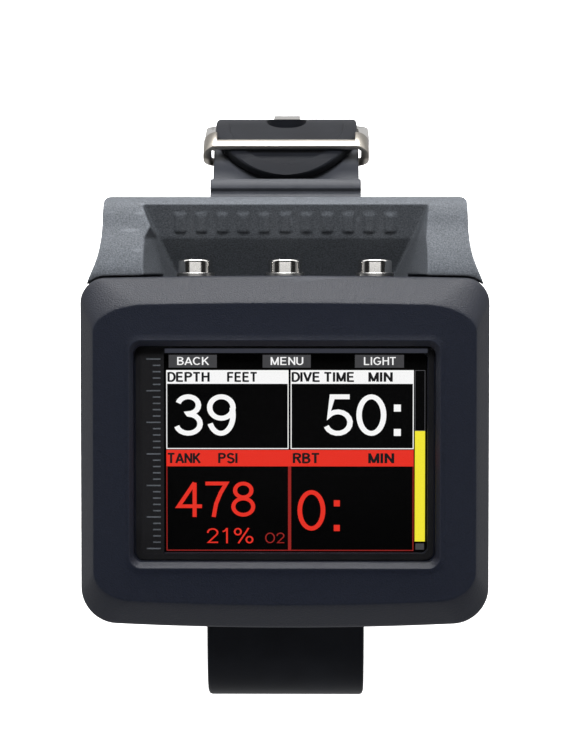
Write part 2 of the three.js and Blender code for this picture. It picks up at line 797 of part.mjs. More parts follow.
function strapRoot() {
  const strap = strapPiece(ROOT_LINE, 44, LONG_THICK, ROOT_W - 0.6);
  const plate = prism(
    [
      [LOWER_PIN[0] + 1.6, LOWER_PIN[1] + 2.2],
      [LOWER_PIN[0] - 1, LOWER_PIN[1] + 2.9],
      [-34, 4.3],
      [-40.6, 3.6],
      [-44.4, 1.4],
      [-46.2, -2],
      [-46.7, -6],
      [-45, -6],
      [-43.2, -1.6],
      [-40, 0.6],
      [-34, 1.4],
      [-31.4, 0.2],
      [LOWER_PIN[0], LOWER_PIN[1] - KNUCKLE_R],
      [LOWER_PIN[0] + 2.2, LOWER_PIN[1] - 1.6],
      [LOWER_PIN[0] + 2.7, LOWER_PIN[1]],
    ],
    -ROOT_W / 2,
    ROOT_W / 2,
  );
  const end = knuckle(LOWER_BEND, LONG_THICK / 2, ROOT_W - 0.6);
  return cut(join(strap, plate, end), bore(LOWER_PIN, PIN_BORE));
}

// Steel keeper round both layers of strap: its front is a narrow bar on the side nearest the case,
// and it widens round the strap's edges to its full length.
const KEEPER = {
  height: 7.2,
  width: 30.4,
  length: 4.4, // along the strap
  wall: 0.95,
  side: 1.4,
  bar: 2.1, // length of the narrow bar in front
  arm: 2.6,
  front: 1.9, // depth of the bar and of the arms beside it
  slant: 3.3, // how far the arms lean back from the case's side, from front to back
};
function strapKeeper() {
  const { height, width, length, wall, side, bar, arm, front, slant } = KEEPER;
  const outer = slab(width, height, 2.6, -length / 2, length / 2);
  const hole = slab(width - 2 * side, height - 2 * wall, 0.5, -length, length);
  const half = width / 2 - arm;
  const relief = box(-half, half, height / 2 - front, height, -length, length / 2 - bar);
  const low = -height / 2 - 0.1;
  const edge = length / 2 + 0.4;
  const lean = prism([[height / 2 - front - 0.6, edge], [low, edge - slant], [low, edge]], -width, width);
  return cut(outer, hole, relief, lean);
}

// Buckle frame, flat in its own plane: the pin at y = 0 and the far bar at the frame's length. It is
// open on the strap's side, where the pin closes it.
const FRAME_LENGTH = Math.hypot(FRAME_BAR[0] - BUCKLE_PIN[0], FRAME_BAR[1] - BUCKLE_PIN[1]);
const FRAME_TILT = Math.atan2(FRAME_BAR[1] - BUCKLE_PIN[1], FRAME_BAR[0] - BUCKLE_PIN[0]);
const FRAME = { width: 31.4, side: 1.9, thick: 2.2, bar: 2.2 };
function buckleFrame() {
  const { width, side, thick, bar } = FRAME;
  const top = FRAME_LENGTH + 1.1;
  const inside = width - 2 * side;
  const outer = slab(width, top + 2.1, 3, -thick / 2, thick / 2, [0, (top - 2.1) / 2], 6);
  const opening = slab(inside, top - bar + 4.1, 1.2, -thick, thick, [0, (top - bar - 4.1) / 2], 4);
  return cut(outer, opening, rod("x", PIN_R + 0.12, -width, width, [0, 0], 16));
}

// Tongue: an eye round the pin and a bent blade that lies in the strap's slot.
function buckleTongue() {
  const path = smooth(
    [
      [0.9, 0],
      [2.6, -1.9],
      [4.6, -5.2],
      [5.2, -9],
      [4.9, -12.2],
    ],
    14,
  );
  const blade = prism(strip(path, 1.2), -2.5, 2.5);
  const eye = rod("x", 1.75, -2.5, 2.5, [0, 0], 20);
  return cut(join(blade, eye), rod("x", PIN_R + 0.2, -5, 5, [0, 0], 16));
}

// ---------------------------------------------------------------- assembly
place("front_housing", frontHousing(), FINISH.housing);
place("display_window", windowGlass(), FINISH.glass);
place("window_seal", windowSeal(), FINISH.rubber);
place("display_panel", displayPanel(), FINISH.moulding);
place("display_frame", displayFrame(), FINISH.brushed);
place("main_board", mainBoard(), FINISH.board);
place("battery_pack", batteryPack(), FINISH.cell);
place("battery_pad", batteryPad(), FINISH.rubber);
place("sound_disc", soundDisc(), FINISH.brass);
place("back_case", backCase(), FINISH.moulding);
place("case_seal", caseSeal(), FINISH.rubber);
place("pressure_sensor", pressureSensor(), FINISH.brushed);
place("sensor_seal", sensorSeal(), FINISH.rubber);
CONTACT_X.forEach((x, i) => {
  place(`charge_contact_${i + 1}`, contactPin(), FINISH.gold, [x, CONTACT_Y, -0.3]);
});
place("guard_frame", guardFrame(), FINISH.guard);
SCREW_PLACES.forEach(([x, y], i) => place(`case_screw_${i + 1}`, caseScrew(), FINISH.steel, [x, y, 2.1]));

["left", "middle", "right"].forEach((side, i) => {
  const at = [BUTTON_X[i], 0, BUTTON_Z];
  place(`button_${side}`, buttonCap(), FINISH.steel, at);
  place(`button_bush_${side}`, buttonBush(), FINISH.steel, at);
  place(`button_spring_${side}`, buttonSpring(), FINISH.brushed, at);
  place(`button_seal_${side}`, buttonSeal(), FINISH.rubber, at);
  place(`button_clip_${side}`, buttonClip(), FINISH.brushed, at);
  place(`button_switch_${side}`, tactileSwitch(), FINISH.moulding, [BUTTON_X[i], 0, 0]);
});

place("upper_spring_bar", springBar(UPPER_PIN, 16.6), FINISH.brushed);
place("lower_spring_bar", springBar(LOWER_PIN, 16.6), FINISH.brushed);
place("short_strap", shortStrap(), FINISH.strap);
place("strap_tail", strapTail(), FINISH.strap);
place("strap_back", strapBack(), FINISH.strap);
place("strap_root", strapRoot(), FINISH.strap);
place("buckle_pin", springBar(BUCKLE_PIN, 15.2), FINISH.brushed);
place("strap_keeper", strapKeeper().rotate([KEEPER_ANGLE, 0, 0]), FINISH.steel, [
  0,
  ...overlapPoint(OVERLAP_R, KEEPER_ANGLE),
]);
place("buckle_frame", buckleFrame().rotate([(FRAME_TILT * 180) / Math.PI, 0, 0]), FINISH.steel, [
  0,
  ...BUCKLE_PIN,
]);
place("buckle_tongue", buckleTongue(), FINISH.steel, [0, ...BUCKLE_PIN]);

export default group;
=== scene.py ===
"""Looks of a wrist-worn dive computer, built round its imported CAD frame.

Shapes are given in millimetres and become metres as their mesh is made. +Z points out of the display and
+Y to 12 o'clock.
"""

import json
import math

import bmesh
import bpy
from mathutils import Matrix, Vector


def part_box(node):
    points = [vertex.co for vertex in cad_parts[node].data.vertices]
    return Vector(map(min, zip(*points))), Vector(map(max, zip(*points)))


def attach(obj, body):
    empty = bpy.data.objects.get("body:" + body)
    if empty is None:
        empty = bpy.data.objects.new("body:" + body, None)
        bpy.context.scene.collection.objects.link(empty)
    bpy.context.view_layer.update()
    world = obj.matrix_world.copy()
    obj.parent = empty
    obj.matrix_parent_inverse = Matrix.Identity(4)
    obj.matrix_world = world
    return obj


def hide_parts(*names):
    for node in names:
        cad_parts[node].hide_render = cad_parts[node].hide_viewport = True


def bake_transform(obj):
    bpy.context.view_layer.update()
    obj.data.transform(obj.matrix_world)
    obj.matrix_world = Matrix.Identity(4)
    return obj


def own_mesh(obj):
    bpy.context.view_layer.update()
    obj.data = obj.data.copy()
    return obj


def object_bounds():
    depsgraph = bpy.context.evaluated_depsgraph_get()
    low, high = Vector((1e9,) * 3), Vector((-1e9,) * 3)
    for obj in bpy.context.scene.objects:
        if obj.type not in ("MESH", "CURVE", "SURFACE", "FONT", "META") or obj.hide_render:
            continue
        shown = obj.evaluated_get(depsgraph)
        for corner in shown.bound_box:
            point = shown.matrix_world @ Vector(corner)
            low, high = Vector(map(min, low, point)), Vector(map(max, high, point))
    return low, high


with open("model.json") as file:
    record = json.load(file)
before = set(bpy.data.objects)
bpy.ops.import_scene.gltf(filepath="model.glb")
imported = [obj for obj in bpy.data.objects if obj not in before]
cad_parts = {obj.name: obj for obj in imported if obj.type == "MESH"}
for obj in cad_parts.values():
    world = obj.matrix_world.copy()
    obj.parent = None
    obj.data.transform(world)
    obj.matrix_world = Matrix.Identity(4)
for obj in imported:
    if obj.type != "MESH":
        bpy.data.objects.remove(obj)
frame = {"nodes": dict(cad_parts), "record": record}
cad_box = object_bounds()
MM = 0.001
TAU = 2 * math.pi
SIDES = ("left", "middle", "right")


def node_box(name):
    """The CAD node's corners in millimetres."""
    low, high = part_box(name)
    return Vector(low) / MM, Vector(high) / MM


def node_middle(name):
    low, high = node_box(name)
    return (low + high) / 2


def joint_at(name):
    """The (y, z) of a hinge in millimetres."""
    for joint in frame["record"]["behaviour"]["joints"]:
        if joint["name"] == name:
            return Vector(joint["pos_m"][1:]) / MM
    raise KeyError(name)


# ------ main sizes, in millimetres
housing_low, housing_high = node_box("front_housing")
CASE_W = housing_high.x - housing_low.x
BOW_TOP = 0.5  # the long sides of the case bow out by this much
BOW_BOTTOM = 1.0
CASE_H = housing_high.y - housing_low.y - BOW_TOP - BOW_BOTTOM
CASE_SHIFT = housing_high.y - BOW_TOP - CASE_H / 2
CASE_TOP = housing_high.y
CASE_CORNERS = (4.2, 4.2, 6.0, 6.0)  # radii along X and Y, at 12 o'clock and then at 6 o'clock
CASE_CUTS = (14, 16)  # parts of each corner and of each side
FRONT_Z = housing_high.z
SPLIT_Z = housing_low.z
CLEARANCE = 0.3
glass_low, glass_high = node_box("display_window")
GLASS_W = glass_high.x - glass_low.x
GLASS_H = glass_high.y - glass_low.y
GLASS_Y = (glass_high.y + glass_low.y) / 2
panel_low, panel_high = node_box("display_panel")
GUARD_END = node_box("guard_frame")[1].y
UPPER_PIN = joint_at("strap_sway")
UPPER_BEND = joint_at("upper_bend")
LOWER_BEND = joint_at("lower_bend")
LOWER_PIN = UPPER_PIN + LOWER_BEND - UPPER_BEND
BUCKLE_PIN = joint_at("buckle_swing")
OVERLAP_CENTRE = joint_at("keeper_slide")
OVERLAP_R = 17.4  # of the arc between the two straps
BAR_BORE_R = 1.25  # of the straps round the spring bars
PIN_BORE_R = 1.1
BUTTON_Z = node_middle("button_middle").z


# ------ mesh helpers
def add_object(name, mesh, material):
    obj = bpy.data.objects.new(name, mesh)
    bpy.context.scene.collection.objects.link(obj)
    if material:
        mesh.materials.append(material)
    return obj


def mesh_object(name, points, faces, material):
    """A mesh from points in millimetres."""
    mesh = bpy.data.meshes.new(name)
    mesh.from_pydata([Vector(p) * MM for p in points], [], faces)
    mesh.validate()
    return add_object(name, mesh, material)


def ring_faces(count, n, closed, start=0):
    """Quads between count rings of n points each, and the end caps of an open stack."""
    faces = []
    for k in range(count if closed else count - 1):
        a0 = start + k * n
        b0 = start + ((k + 1) % count) * n
        for i in range(n):
            j = (i + 1) % n
            faces.append((a0 + i, a0 + j, b0 + j, b0 + i))
    if not closed:
        last = start + (count - 1) * n
        faces.append(tuple(range(start + n - 1, start - 1, -1)))
        faces.append(tuple(range(last, last + n)))
    return faces


def skin(name, rings, closed=False, material=None):
    """A skin over rings of equal length; closed joins the last ring to the first."""
    points = [p for ring in rings for p in ring]
    obj = mesh_object(name, points, ring_faces(len(rings), len(rings[0]), closed), material)
    clean(obj)
    return obj


def clean(obj, merge=0):
    """Faces pointing out, with points closer than merge metres made one."""
    bm = bmesh.new()
    bm.from_mesh(obj.data)
    if merge:
        bmesh.ops.remove_doubles(bm, verts=bm.verts, dist=merge)
    bmesh.ops.recalc_face_normals(bm, faces=bm.faces)
    bm.to_mesh(obj.data)
    bm.free()


def apply_modifiers(obj):
    bpy.context.view_layer.update()
    graph = bpy.context.evaluated_depsgraph_get()
    mesh = bpy.data.meshes.new_from_object(obj.evaluated_get(graph))
    obj.modifiers.clear()
    old = obj.data
    obj.data = mesh
    bpy.data.meshes.remove(old)


def boolean(obj, operation, tools):
    for tool in tools:
        step = obj.modifiers.new("step", "BOOLEAN")
        step.operation = operation
        step.solver = "EXACT"
        step.object = tool
        apply_modifiers(obj)
        bpy.data.objects.remove(tool)


def cut(obj, *tools):
    boolean(obj, "DIFFERENCE", tools)


def join(obj, *tools):
    boolean(obj, "UNION", tools)


def shade(obj, degrees=35):
    """Smooth shading, with edges sharper than an angle left crisp."""
    bm = bmesh.new()
    bm.from_mesh(obj.data)
    for face in bm.faces:
        face.smooth = True
    limit = math.radians(degrees)
    for edge in bm.edges:
        if len(edge.link_faces) == 2:
            edge.smooth = edge.calc_face_angle(0) < limit
    bm.to_mesh(obj.data)
    bm.free()


def soften(obj, voxel, keep, material):
    """Gives a moulded shape its fillets: an even skin, smoothed, then thinned."""
    remesh = obj.modifiers.new("skin", "REMESH")
    remesh.mode = "VOXEL"
    remesh.voxel_size = voxel * MM
    remesh.use_smooth_shade = True
    smooth = obj.modifiers.new("smooth", "SMOOTH")
    smooth.factor = 0.5
    smooth.iterations = 4
    thin = obj.modifiers.new("thin", "DECIMATE")
    thin.ratio = keep
    apply_modifiers(obj)
    shade(obj, 60)
    obj.data.materials.clear()
    obj.data.materials.append(material)


def bevel_edges(obj, width, segments=3, degrees=40):
    step = obj.modifiers.new("bevel", "BEVEL")
    step.width = width * MM
    step.segments = segments
    step.limit_method = "ANGLE"
    step.angle_limit = math.radians(degrees)
    step.harden_normals = False
    apply_modifiers(obj)
    shade(obj)


def place_on(obj, body, slot, *nodes):
    """The piece rides on a body and stands for some CAD nodes, which it hides. The slot is not used."""
    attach(obj, body)
    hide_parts(*nodes)


def corner_outline(w, h, radii, corner, edge):
    """An outline round the origin: quarter-ellipse corners of (rx, ry), straight sides in edge parts."""
    signs = ((1, 1), (-1, 1), (-1, -1), (1, -1))
    points = []
    for k, (sx, sy) in enumerate(signs):
        rx, ry = radii[k]
        for i in range(corner + 1):
            a = (k + i / corner) * TAU / 4
            points.append((sx * (w / 2 - rx) + rx * math.cos(a), sy * (h / 2 - ry) + ry * math.sin(a)))
        x0, y0 = points[-1]
        sx, sy = signs[(k + 1) % 4]
        rx, ry = radii[(k + 1) % 4]
        along_x = k % 2 == 0
        x1, y1 = sx * (w / 2 - rx * along_x), sy * (h / 2 - ry * (not along_x))
        for i in range(1, edge):
            t = i / edge
            points.append((x0 + (x1 - x0) * t, y0 + (y1 - y0) * t))
    return points


def rounded_ring(w, h, r, z, x=0, y=0, corner=14, edge=8):
    """A rounded rectangle as points."""
    return [(x + px, y + py, z) for px, py in corner_outline(w, h, ((r, r),) * 4, corner, edge)]


def case_ring(w, h, corners, z):
    """The case's outline, with bowed long sides."""
    top, bottom = corners[:2], corners[2:]
    ring = []
    for x, y in corner_outline(w, h, (top, top, bottom, bottom), *CASE_CUTS):
        bow = BOW_TOP if y > 0 else BOW_BOTTOM
        ring.append((x, y + bow * (1 - (2 * x / w) ** 2) * 2 * y / h + CASE_SHIFT, z))
    return ring


def slab(name, w, h, r, z0, z1, x=0, y=0, material=None, corner=10):
    rings = [rounded_ring(w, h, r, z, x, y, corner, 1) for z in (z0, z1)]
    return skin(name, rings, material=material)


def blocks(name, extents, material=None):
    """Plain blocks in one mesh, each (x0, x1, y0, y1, z0, z1)."""
    points, faces = [], []
    for x0, x1, y0, y1, z0, z1 in extents:
        faces += ring_faces(2, 4, False, start=len(points))
        for z in (z0, z1):
            points += [(x0, y0, z), (x1, y0, z), (x1, y1, z), (x0, y1, z)]
    return mesh_object(name, points, faces, material)


def side_prism(name, outline, x0, x1, material=None):
    """An outline of (y, z) points pushed out along X."""
    rings = [[(x, y, z) for y, z in outline] for x in (x0, x1)]
    return skin(name, rings, material=material)


def turned(profile, axis, at, steps=48):
    """Rings of a profile of (radius, height) points turned about an axis."""
    rings = []
    for radius, height in profile:
        ring = []
        for i in range(steps):
            a = i * TAU / steps
            u, v = radius * math.cos(a), radius * math.sin(a)
            p = {"x": (height, u, v), "y": (v, height, u), "z": (u, v, height)}[axis]
            ring.append(Vector(p) + Vector(at))
        rings.append(ring)
    return rings


def rod(name, axis, radius, start, end, at):
    return skin(name, turned([(radius, start), (radius, end)], axis, at))


def curve_points(line, per):
    """A centripetal Catmull-Rom line through 2-D points, in per pieces from each to the next."""
    pts = [Vector(p) for p in line]
    pts = [pts[0] * 2 - pts[1]] + pts + [pts[-1] * 2 - pts[-2]]
    out = []
    for i in range(1, len(pts) - 2):
        p0, p1, p2, p3 = pts[i - 1 : i + 3]
        d1, d2, d3 = ((b - a).length ** 0.5 for a, b in ((p0, p1), (p1, p2), (p2, p3)))
        m1 = (p1 - p0) / d1 - (p2 - p0) / (d1 + d2) + (p2 - p1) / d2
        m2 = (p2 - p1) / d2 - (p3 - p1) / (d2 + d3) + (p3 - p2) / d3
        m1 *= d2
        m2 *= d2
        for k in range(per):
            t = k / per
            out.append(
                p1 * (2 * t**3 - 3 * t**2 + 1)
                + m1 * (t**3 - 2 * t**2 + t)
                + p2 * (-2 * t**3 + 3 * t**2)
                + m2 * (t**3 - t**2)
            )
    out.append(pts[-2])
    return out


def normals_of(line):
    """Unit normals of a (y, z) line, to the left of its direction."""
    out = []
    for i in range(len(line)):
        d = (line[min(i + 1, len(line) - 1)] - line[max(i - 1, 0)]).normalized()
        out.append(Vector((-d.y, d.x)))
    return out


def strip(line, thickness):
    """The closed side outline of a strip of even thickness along a (y, z) line."""
    pairs = list(zip(line, normals_of(line)))
    left = [p + n * thickness / 2 for p, n in pairs]
    right = [p - n * thickness / 2 for p, n in pairs]
    return [tuple(p) for p in left + right[::-1]]


# ------ materials
class Nodes:
    """A node tree that grows one node at a time."""

    def __init__(self, tree):
        self.tree = tree

    def set(self, socket, value):
        """Feeds a socket from another node's output or with a plain value."""
        if hasattr(value, "is_linked"):
            self.tree.links.new(value, socket)
        else:
            socket.default_value = value

    def feed(self, node, **inputs):
        for name, value in inputs.items():
            self.set(node.inputs[name.replace("_", " ")], value)
        return node

    def add(self, kind, **inputs):
        return self.feed(self.tree.nodes.new(kind), **inputs)


class Look(Nodes):
    """A material, built up from a base colour."""

    def __init__(self, name, color, roughness, **inputs):
        self.material = bpy.data.materials.new(name)
        self.material.use_nodes = True
        super().__init__(self.material.node_tree)
        self.bsdf = self.tree.nodes["Principled BSDF"]
        self.feed(self.bsdf, Base_Color=(*color, 1), Roughness=roughness, **inputs)
        self.color = color
        self.coords = self.add("ShaderNodeTexCoord").outputs["Object"]

    def noise(self, size, detail=2.0, stretch=None):
        """Noise whose lumps are about size millimetres across."""
        coords = self.coords
        if stretch:
            coords = self.add("ShaderNodeMapping", Vector=coords, Scale=stretch).outputs[0]
        node = self.add("ShaderNodeTexNoise", Vector=coords, Scale=1 / (size * MM), Detail=detail)
        return node.outputs["Fac"]

    def ramp(self, value, *ends):
        """A blend from one (place, colour) to another."""
        node = self.add("ShaderNodeValToRGB", Fac=value)
        for element, (place, color) in zip(node.color_ramp.elements, ends):
            element.position = place
            element.color = (*color, 1)
        return node.outputs["Color"]

    def scaled(self, value, low, high):
        return self.add("ShaderNodeMapRange", Value=value, To_Min=low, To_Max=high).outputs["Result"]

    def tint(self, value, spread):
        """Varies the base colour by a share, following a value."""
        dark = tuple(c * (1 - spread) for c in self.color)
        light = tuple(min(c * (1 + spread), 1) for c in self.color)
        self.feed(self.bsdf, Base_Color=self.ramp(value, (0.3, dark), (0.7, light)))

    def bump(self, height, depth, strength=1.0):
        """Bump of a depth in millimetres, laid over any bump already there."""
        node = self.add("ShaderNodeBump", Height=height, Strength=strength, Distance=depth * MM)
        socket = self.bsdf.inputs["Normal"]
        if socket.is_linked:
            self.feed(node, Normal=socket.links[0].from_socket)
        self.set(socket, node.outputs[0])

    def roughness(self, value, low, high):
        self.feed(self.bsdf, Roughness=self.scaled(value, low, high))

    def painted_edge_highlight(self, light, amount):
        """Painted highlight: convex places, such as edges, turn lighter than the tinted base colour."""
        pointiness = self.add("ShaderNodeNewGeometry").outputs["Pointiness"]
        mix = self.tree.nodes.new("ShaderNodeMix")
        mix.data_type = "RGBA"
        socket = self.bsdf.inputs["Base Color"]
        self.feed(mix, Factor=self.ramp(pointiness, (0.51, (0, 0, 0)), (0.6, (amount,) * 3)))
        self.set(mix.inputs[6], socket.links[0].from_socket)
        self.set(mix.inputs[7], (*light, 1))
        self.set(socket, mix.outputs[2])


def moulded(name, color, grain=0.16, depth=0.012, rough=(0.48, 0.62), shine=0.5):
    """Spark-textured moulding: fine grain over slow mottling, with a painted highlight on convex edges."""
    look = Look(name, color, 0.55, Specular_IOR_Level=shine)
    fine = look.noise(grain, 3)
    slow = look.noise(4.0, 2)
    look.tint(fine, 0.4)
    look.bump(slow, 0.02, 0.4)
    look.bump(fine, depth)
    look.roughness(fine, *rough)
    # Painted highlight along the convex edges.
    look.painted_edge_highlight(tuple(min(c * 1.9 + 0.02, 1) for c in color), 0.35)
    return look.material


def elastomer(name, color, shine=0.14):
    look = Look(name, color, 0.6, Specular_IOR_Level=shine, Sheen_Weight=0.02)
    fine = look.noise(0.1, 4)
    slow = look.noise(6.0, 2)
    look.tint(slow, 0.15)
    look.bump(fine, 0.006)
    look.roughness(slow, 0.5, 0.66)
    return look.material


def steel(name, color, rough, stretch=None):
    """Polished metal, or metal with hairlines stretched along some axes."""
    look = Look(name, color, rough, Metallic=1.0)
    lines = look.noise(0.25, 3, stretch)
    look.roughness(lines, rough * 0.7, rough * 1.4)
    look.bump(lines, 0.0012)
    return look.material


def lamp(name, color, strength):
    """A glowing area with a faint pixel grain, used for the display's lit areas and for a painted sheen band
    over the window.
    """
    look = Look(name, (0, 0, 0), 0.4, Emission_Color=(*color, 1))
    glow = look.scaled(look.noise(0.14, 0), strength * 0.94, strength * 1.04)
    look.feed(look.bsdf, Emission_Strength=glow)
    return look.material


def window_coating():
    """Hard clear window with faint smears."""
    look = Look("window_glass", (0, 0, 0), 0.03, Alpha=0.1, Specular_IOR_Level=0.3)
    look.roughness(look.noise(9.0, 2), 0.02, 0.06)
    return look.material


PRINTED = {"grain": 0.3, "depth": 0.0005}
HOUSING = moulded("housing_moulding", (0.0054, 0.0067, 0.0118), 0.24, 0.075, (0.44, 0.6))
# The guard's moulding is lighter than the housing's: partly its own grey, partly a painted highlight for the
# light the guard catches.
GUARD_PAINTED_LIGHTER = moulded("guard_moulding_painted_lighter", (0.067, 0.073, 0.082), 0.24, 0.06, (0.46, 0.58), shine=0.2)
BACK = moulded("back_moulding", (0.012, 0.012, 0.013), 0.12, 0.008)
BOARD = moulded("board_green", (0.01, 0.07, 0.03), 0.6, 0.004, (0.25, 0.4))
CELL = moulded("cell_wrap", (0.1, 0.11, 0.13), 1.2, 0.004, (0.25, 0.4))
INK = moulded("black_mask", (0.003, 0.003, 0.0038), rough=(0.12, 0.2), shine=0.06, **PRINTED)
FAINT = moulded("faint_print", (0.06, 0.066, 0.075), rough=(0.3, 0.4), shine=0.1, **PRINTED)
SCREEN = moulded("screen_black", (0.0005, 0.0005, 0.0006), rough=(0.2, 0.3), shine=0.02, **PRINTED)
# The straps are one elastomer in two copies: the long strap's is painted darker, a painted shade, and the
# short strap's is painted lighter and shinier, a painted highlight for the light its ridge catches.
STRAP_PAINTED_SHADE = elastomer("strap_elastomer", (0.0075, 0.0082, 0.0105))
SHORT_STRAP_PAINTED_LIGHT = elastomer("short_strap_painted_light", (0.03, 0.032, 0.038), shine=0.4)
SEAL = elastomer("seal_rubber", (0.008, 0.008, 0.009))
POLISHED = steel("polished_steel", (0.84, 0.82, 0.79), 0.12)
TURNED = steel("turned_steel", (0.62, 0.61, 0.59), 0.28, (8, 1, 8))
SATIN = steel("satin_steel", (0.42, 0.39, 0.345), 0.3, (0.05, 1, 1))
GOLD = steel("gold_plate", (0.83, 0.6, 0.24), 0.16)
BRASS = steel("brass_disc", (0.7, 0.52, 0.22), 0.3)
WHITE = lamp("display_white", (1, 1, 1), 1.15)
RED = lamp("display_red", (0.85, 0.032, 0.018), 1.12)
DIM_RED = lamp("display_dim_red", (0.36, 0.02, 0.016), 1.0)
YELLOW = lamp("display_yellow", (0.95, 0.84, 0.04), 1.15)
GREY = lamp("display_grey", (0.065, 0.065, 0.07), 1.0)
LINE_GREY = lamp("display_line", (0.1, 0.1, 0.11), 1.0)
# Painted sheen: a faint glowing band that stands in for light on the top of the window's bezel.
PAINTED_SHEEN_BAND = lamp("window_band_painted_sheen", (0.04, 0.043, 0.058), 1.0)
GLASS = window_coating()


# ------ front housing
FACE_W = CASE_W - 5.2  # flat front face inside the bevel
FACE_H = CASE_H - 9.4
FACE_CORNERS = (9.0, 4.4, 6.5, 4.6)
BEVEL_DEPTH = 5.0
POCKET_W = GLASS_W + 0.3
POCKET_H = GLASS_H + 0.3
POCKET_R = 1.5
HOLLOW = (59, 48.6, 10.3)  # width, height and corner radius of the room inside
ROOF_Z = FRONT_Z - 4.2
LEDGE_Z = glass_low.z - 0.4  # the window's seal lies on this ledge
LEDGE = 1.3  # its width
BUTTON_HOLE_R = 3.5
# Share of the way from the side wall to the flat face, and share of the bevel's depth.
BEVEL = [
    (0.0, -0.3), (0.0, -0.08), (0.004, 0.0), (0.02, 0.055), (0.05, 0.105), (0.09, 0.15), (0.14, 0.2),
    (0.24, 0.3), (0.5, 0.555), (0.8, 0.84), (0.93, 0.955), (0.975, 0.988), (1.0, 1.0), (1.03, 1.002),
]
# The raised lip round the window: how far out of the pocket (X and Y), corner radius, height over the face.
LIP = [
    (1.75, 2.05, 2.6, 0.0),
    (1.5, 1.85, 2.5, 0.02),
    (0.95, 1.25, 2.2, 0.2),
    (0.8, 1.08, 2.1, 0.25),
    (0.68, 0.95, 2.0, 0.22),
    (0.1, 0.12, 1.6, -0.62),
    (0.03, 0.03, 1.5, -0.72),
    (0.0, 0.0, 1.5, -0.9),
]


def build_front_housing():
    """Outer wall, flat bevel, front face, raised lip, window recess and the hollow inside."""
    rings = []
    side_top = FRONT_Z - BEVEL_DEPTH
    for inset, z in ((1.2, SPLIT_Z), (0.6, SPLIT_Z), (0.5, SPLIT_Z + 0.15)):
        rings.append(case_ring(CASE_W - 2 * inset, CASE_H - 2 * inset, CASE_CORNERS, z))
    rings.append(case_ring(CASE_W, CASE_H, CASE_CORNERS, side_top - 3))
    for share, depth in BEVEL:
        w = CASE_W + (FACE_W - CASE_W) * share
        h = CASE_H + (FACE_H - CASE_H) * share
        corners = [a + (b - a) * share for a, b in zip(CASE_CORNERS, FACE_CORNERS)]
        rings.append(case_ring(w, h, corners, side_top + BEVEL_DEPTH * min(depth, 1)))

    def recess(dx, dy, corner, z):
        rings.append(rounded_ring(POCKET_W + 2 * dx, POCKET_H + 2 * dy, corner, z, 0, GLASS_Y, *CASE_CUTS))

    for dx, dy, corner, rise in LIP:
        recess(dx, dy, corner, FRONT_Z + rise)
    recess(0, 0, POCKET_R, LEDGE_Z)
    for z in (LEDGE_Z, ROOF_Z):
        recess(-LEDGE, -LEDGE, 1.0, z)
    for z in (ROOF_Z, SPLIT_Z):
        rings.append(rounded_ring(*HOLLOW, z, 0, 0, *CASE_CUTS))
    obj = skin("front_housing_shell", rings, closed=True, material=HOUSING)
    for side in SIDES:
        cut(obj, rod("hole", "y", BUTTON_HOLE_R, 20, 34, (node_middle(f"button_{side}").x, 0, BUTTON_Z)))
    shade(obj, 28)
    place_on(obj, "case", "housing", "front_housing")


# ------ window and display
SCREEN_W = 45.0  # lit area of the display
SCREEN_H = 34.2
SCREEN_X = 1.95
SCREEN_Y = GLASS_Y - 0.08
COLUMNS = 320  # the display's own pixels
ROWS = 240
MASK_Z = glass_low.z - 0.08
# The read-out's layout in display pixels, from its top left corner.
CELL_LEFT, CELL_SPLIT, CELL_RIGHT = 1, 150.8, 304
WHITE_TOP, WHITE_HEAD, RED_TOP, RED_HEAD, RED_END = 19.5, 36, 115, 136, 238.5
CELL_GAP = 2.6
LINE = 1.1
BAR_LEFT, BAR_RIGHT, BAR_LEVEL = 305.5, 318, 93
BOLD = 0.095  # half widths of strokes, in letter heights
MEDIUM = 0.065
FIGURE = 0.058
THIN = 0.052
LIGHT = 0.045


def screen_point(u, v, z):
    return (SCREEN_X + (u / COLUMNS - 0.5) * SCREEN_W, SCREEN_Y + (0.5 - v / ROWS) * SCREEN_H, z)


def layer_z(layer):
    """Height of a printed layer over the display."""
    return panel_high.z + 0.02 + 0.05 * layer


def panel_piece(name, material, rects, layer):
    """Flat tiles on the display, each (u0, v0, u1, v1) in display pixels."""
    extents = []
    for u0, v0, u1, v1 in rects:
        x0, y0, z = screen_point(u0, v1, layer_z(layer))
        x1, y1, _ = screen_point(u1, v0, z)
        extents.append((x0, x1, y0, y1, z, z + 0.04))
    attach(blocks(name, extents, material), "case")


def arc(cx, cy, rx, ry, start, end, steps=14):
    """Points of an arc, degrees anticlockwise from +X."""
    angles = [math.radians(start + (end - start) * i / steps) for i in range(steps + 1)]
    return [(cx + rx * math.cos(a), cy + ry * math.sin(a)) for a in angles]


STEM = 0.062  # room for half a stroke above and below its centreline
LOW, HIGH = STEM, 1 - STEM
UPRIGHT = [(0.1, 0), (0.1, 1)]
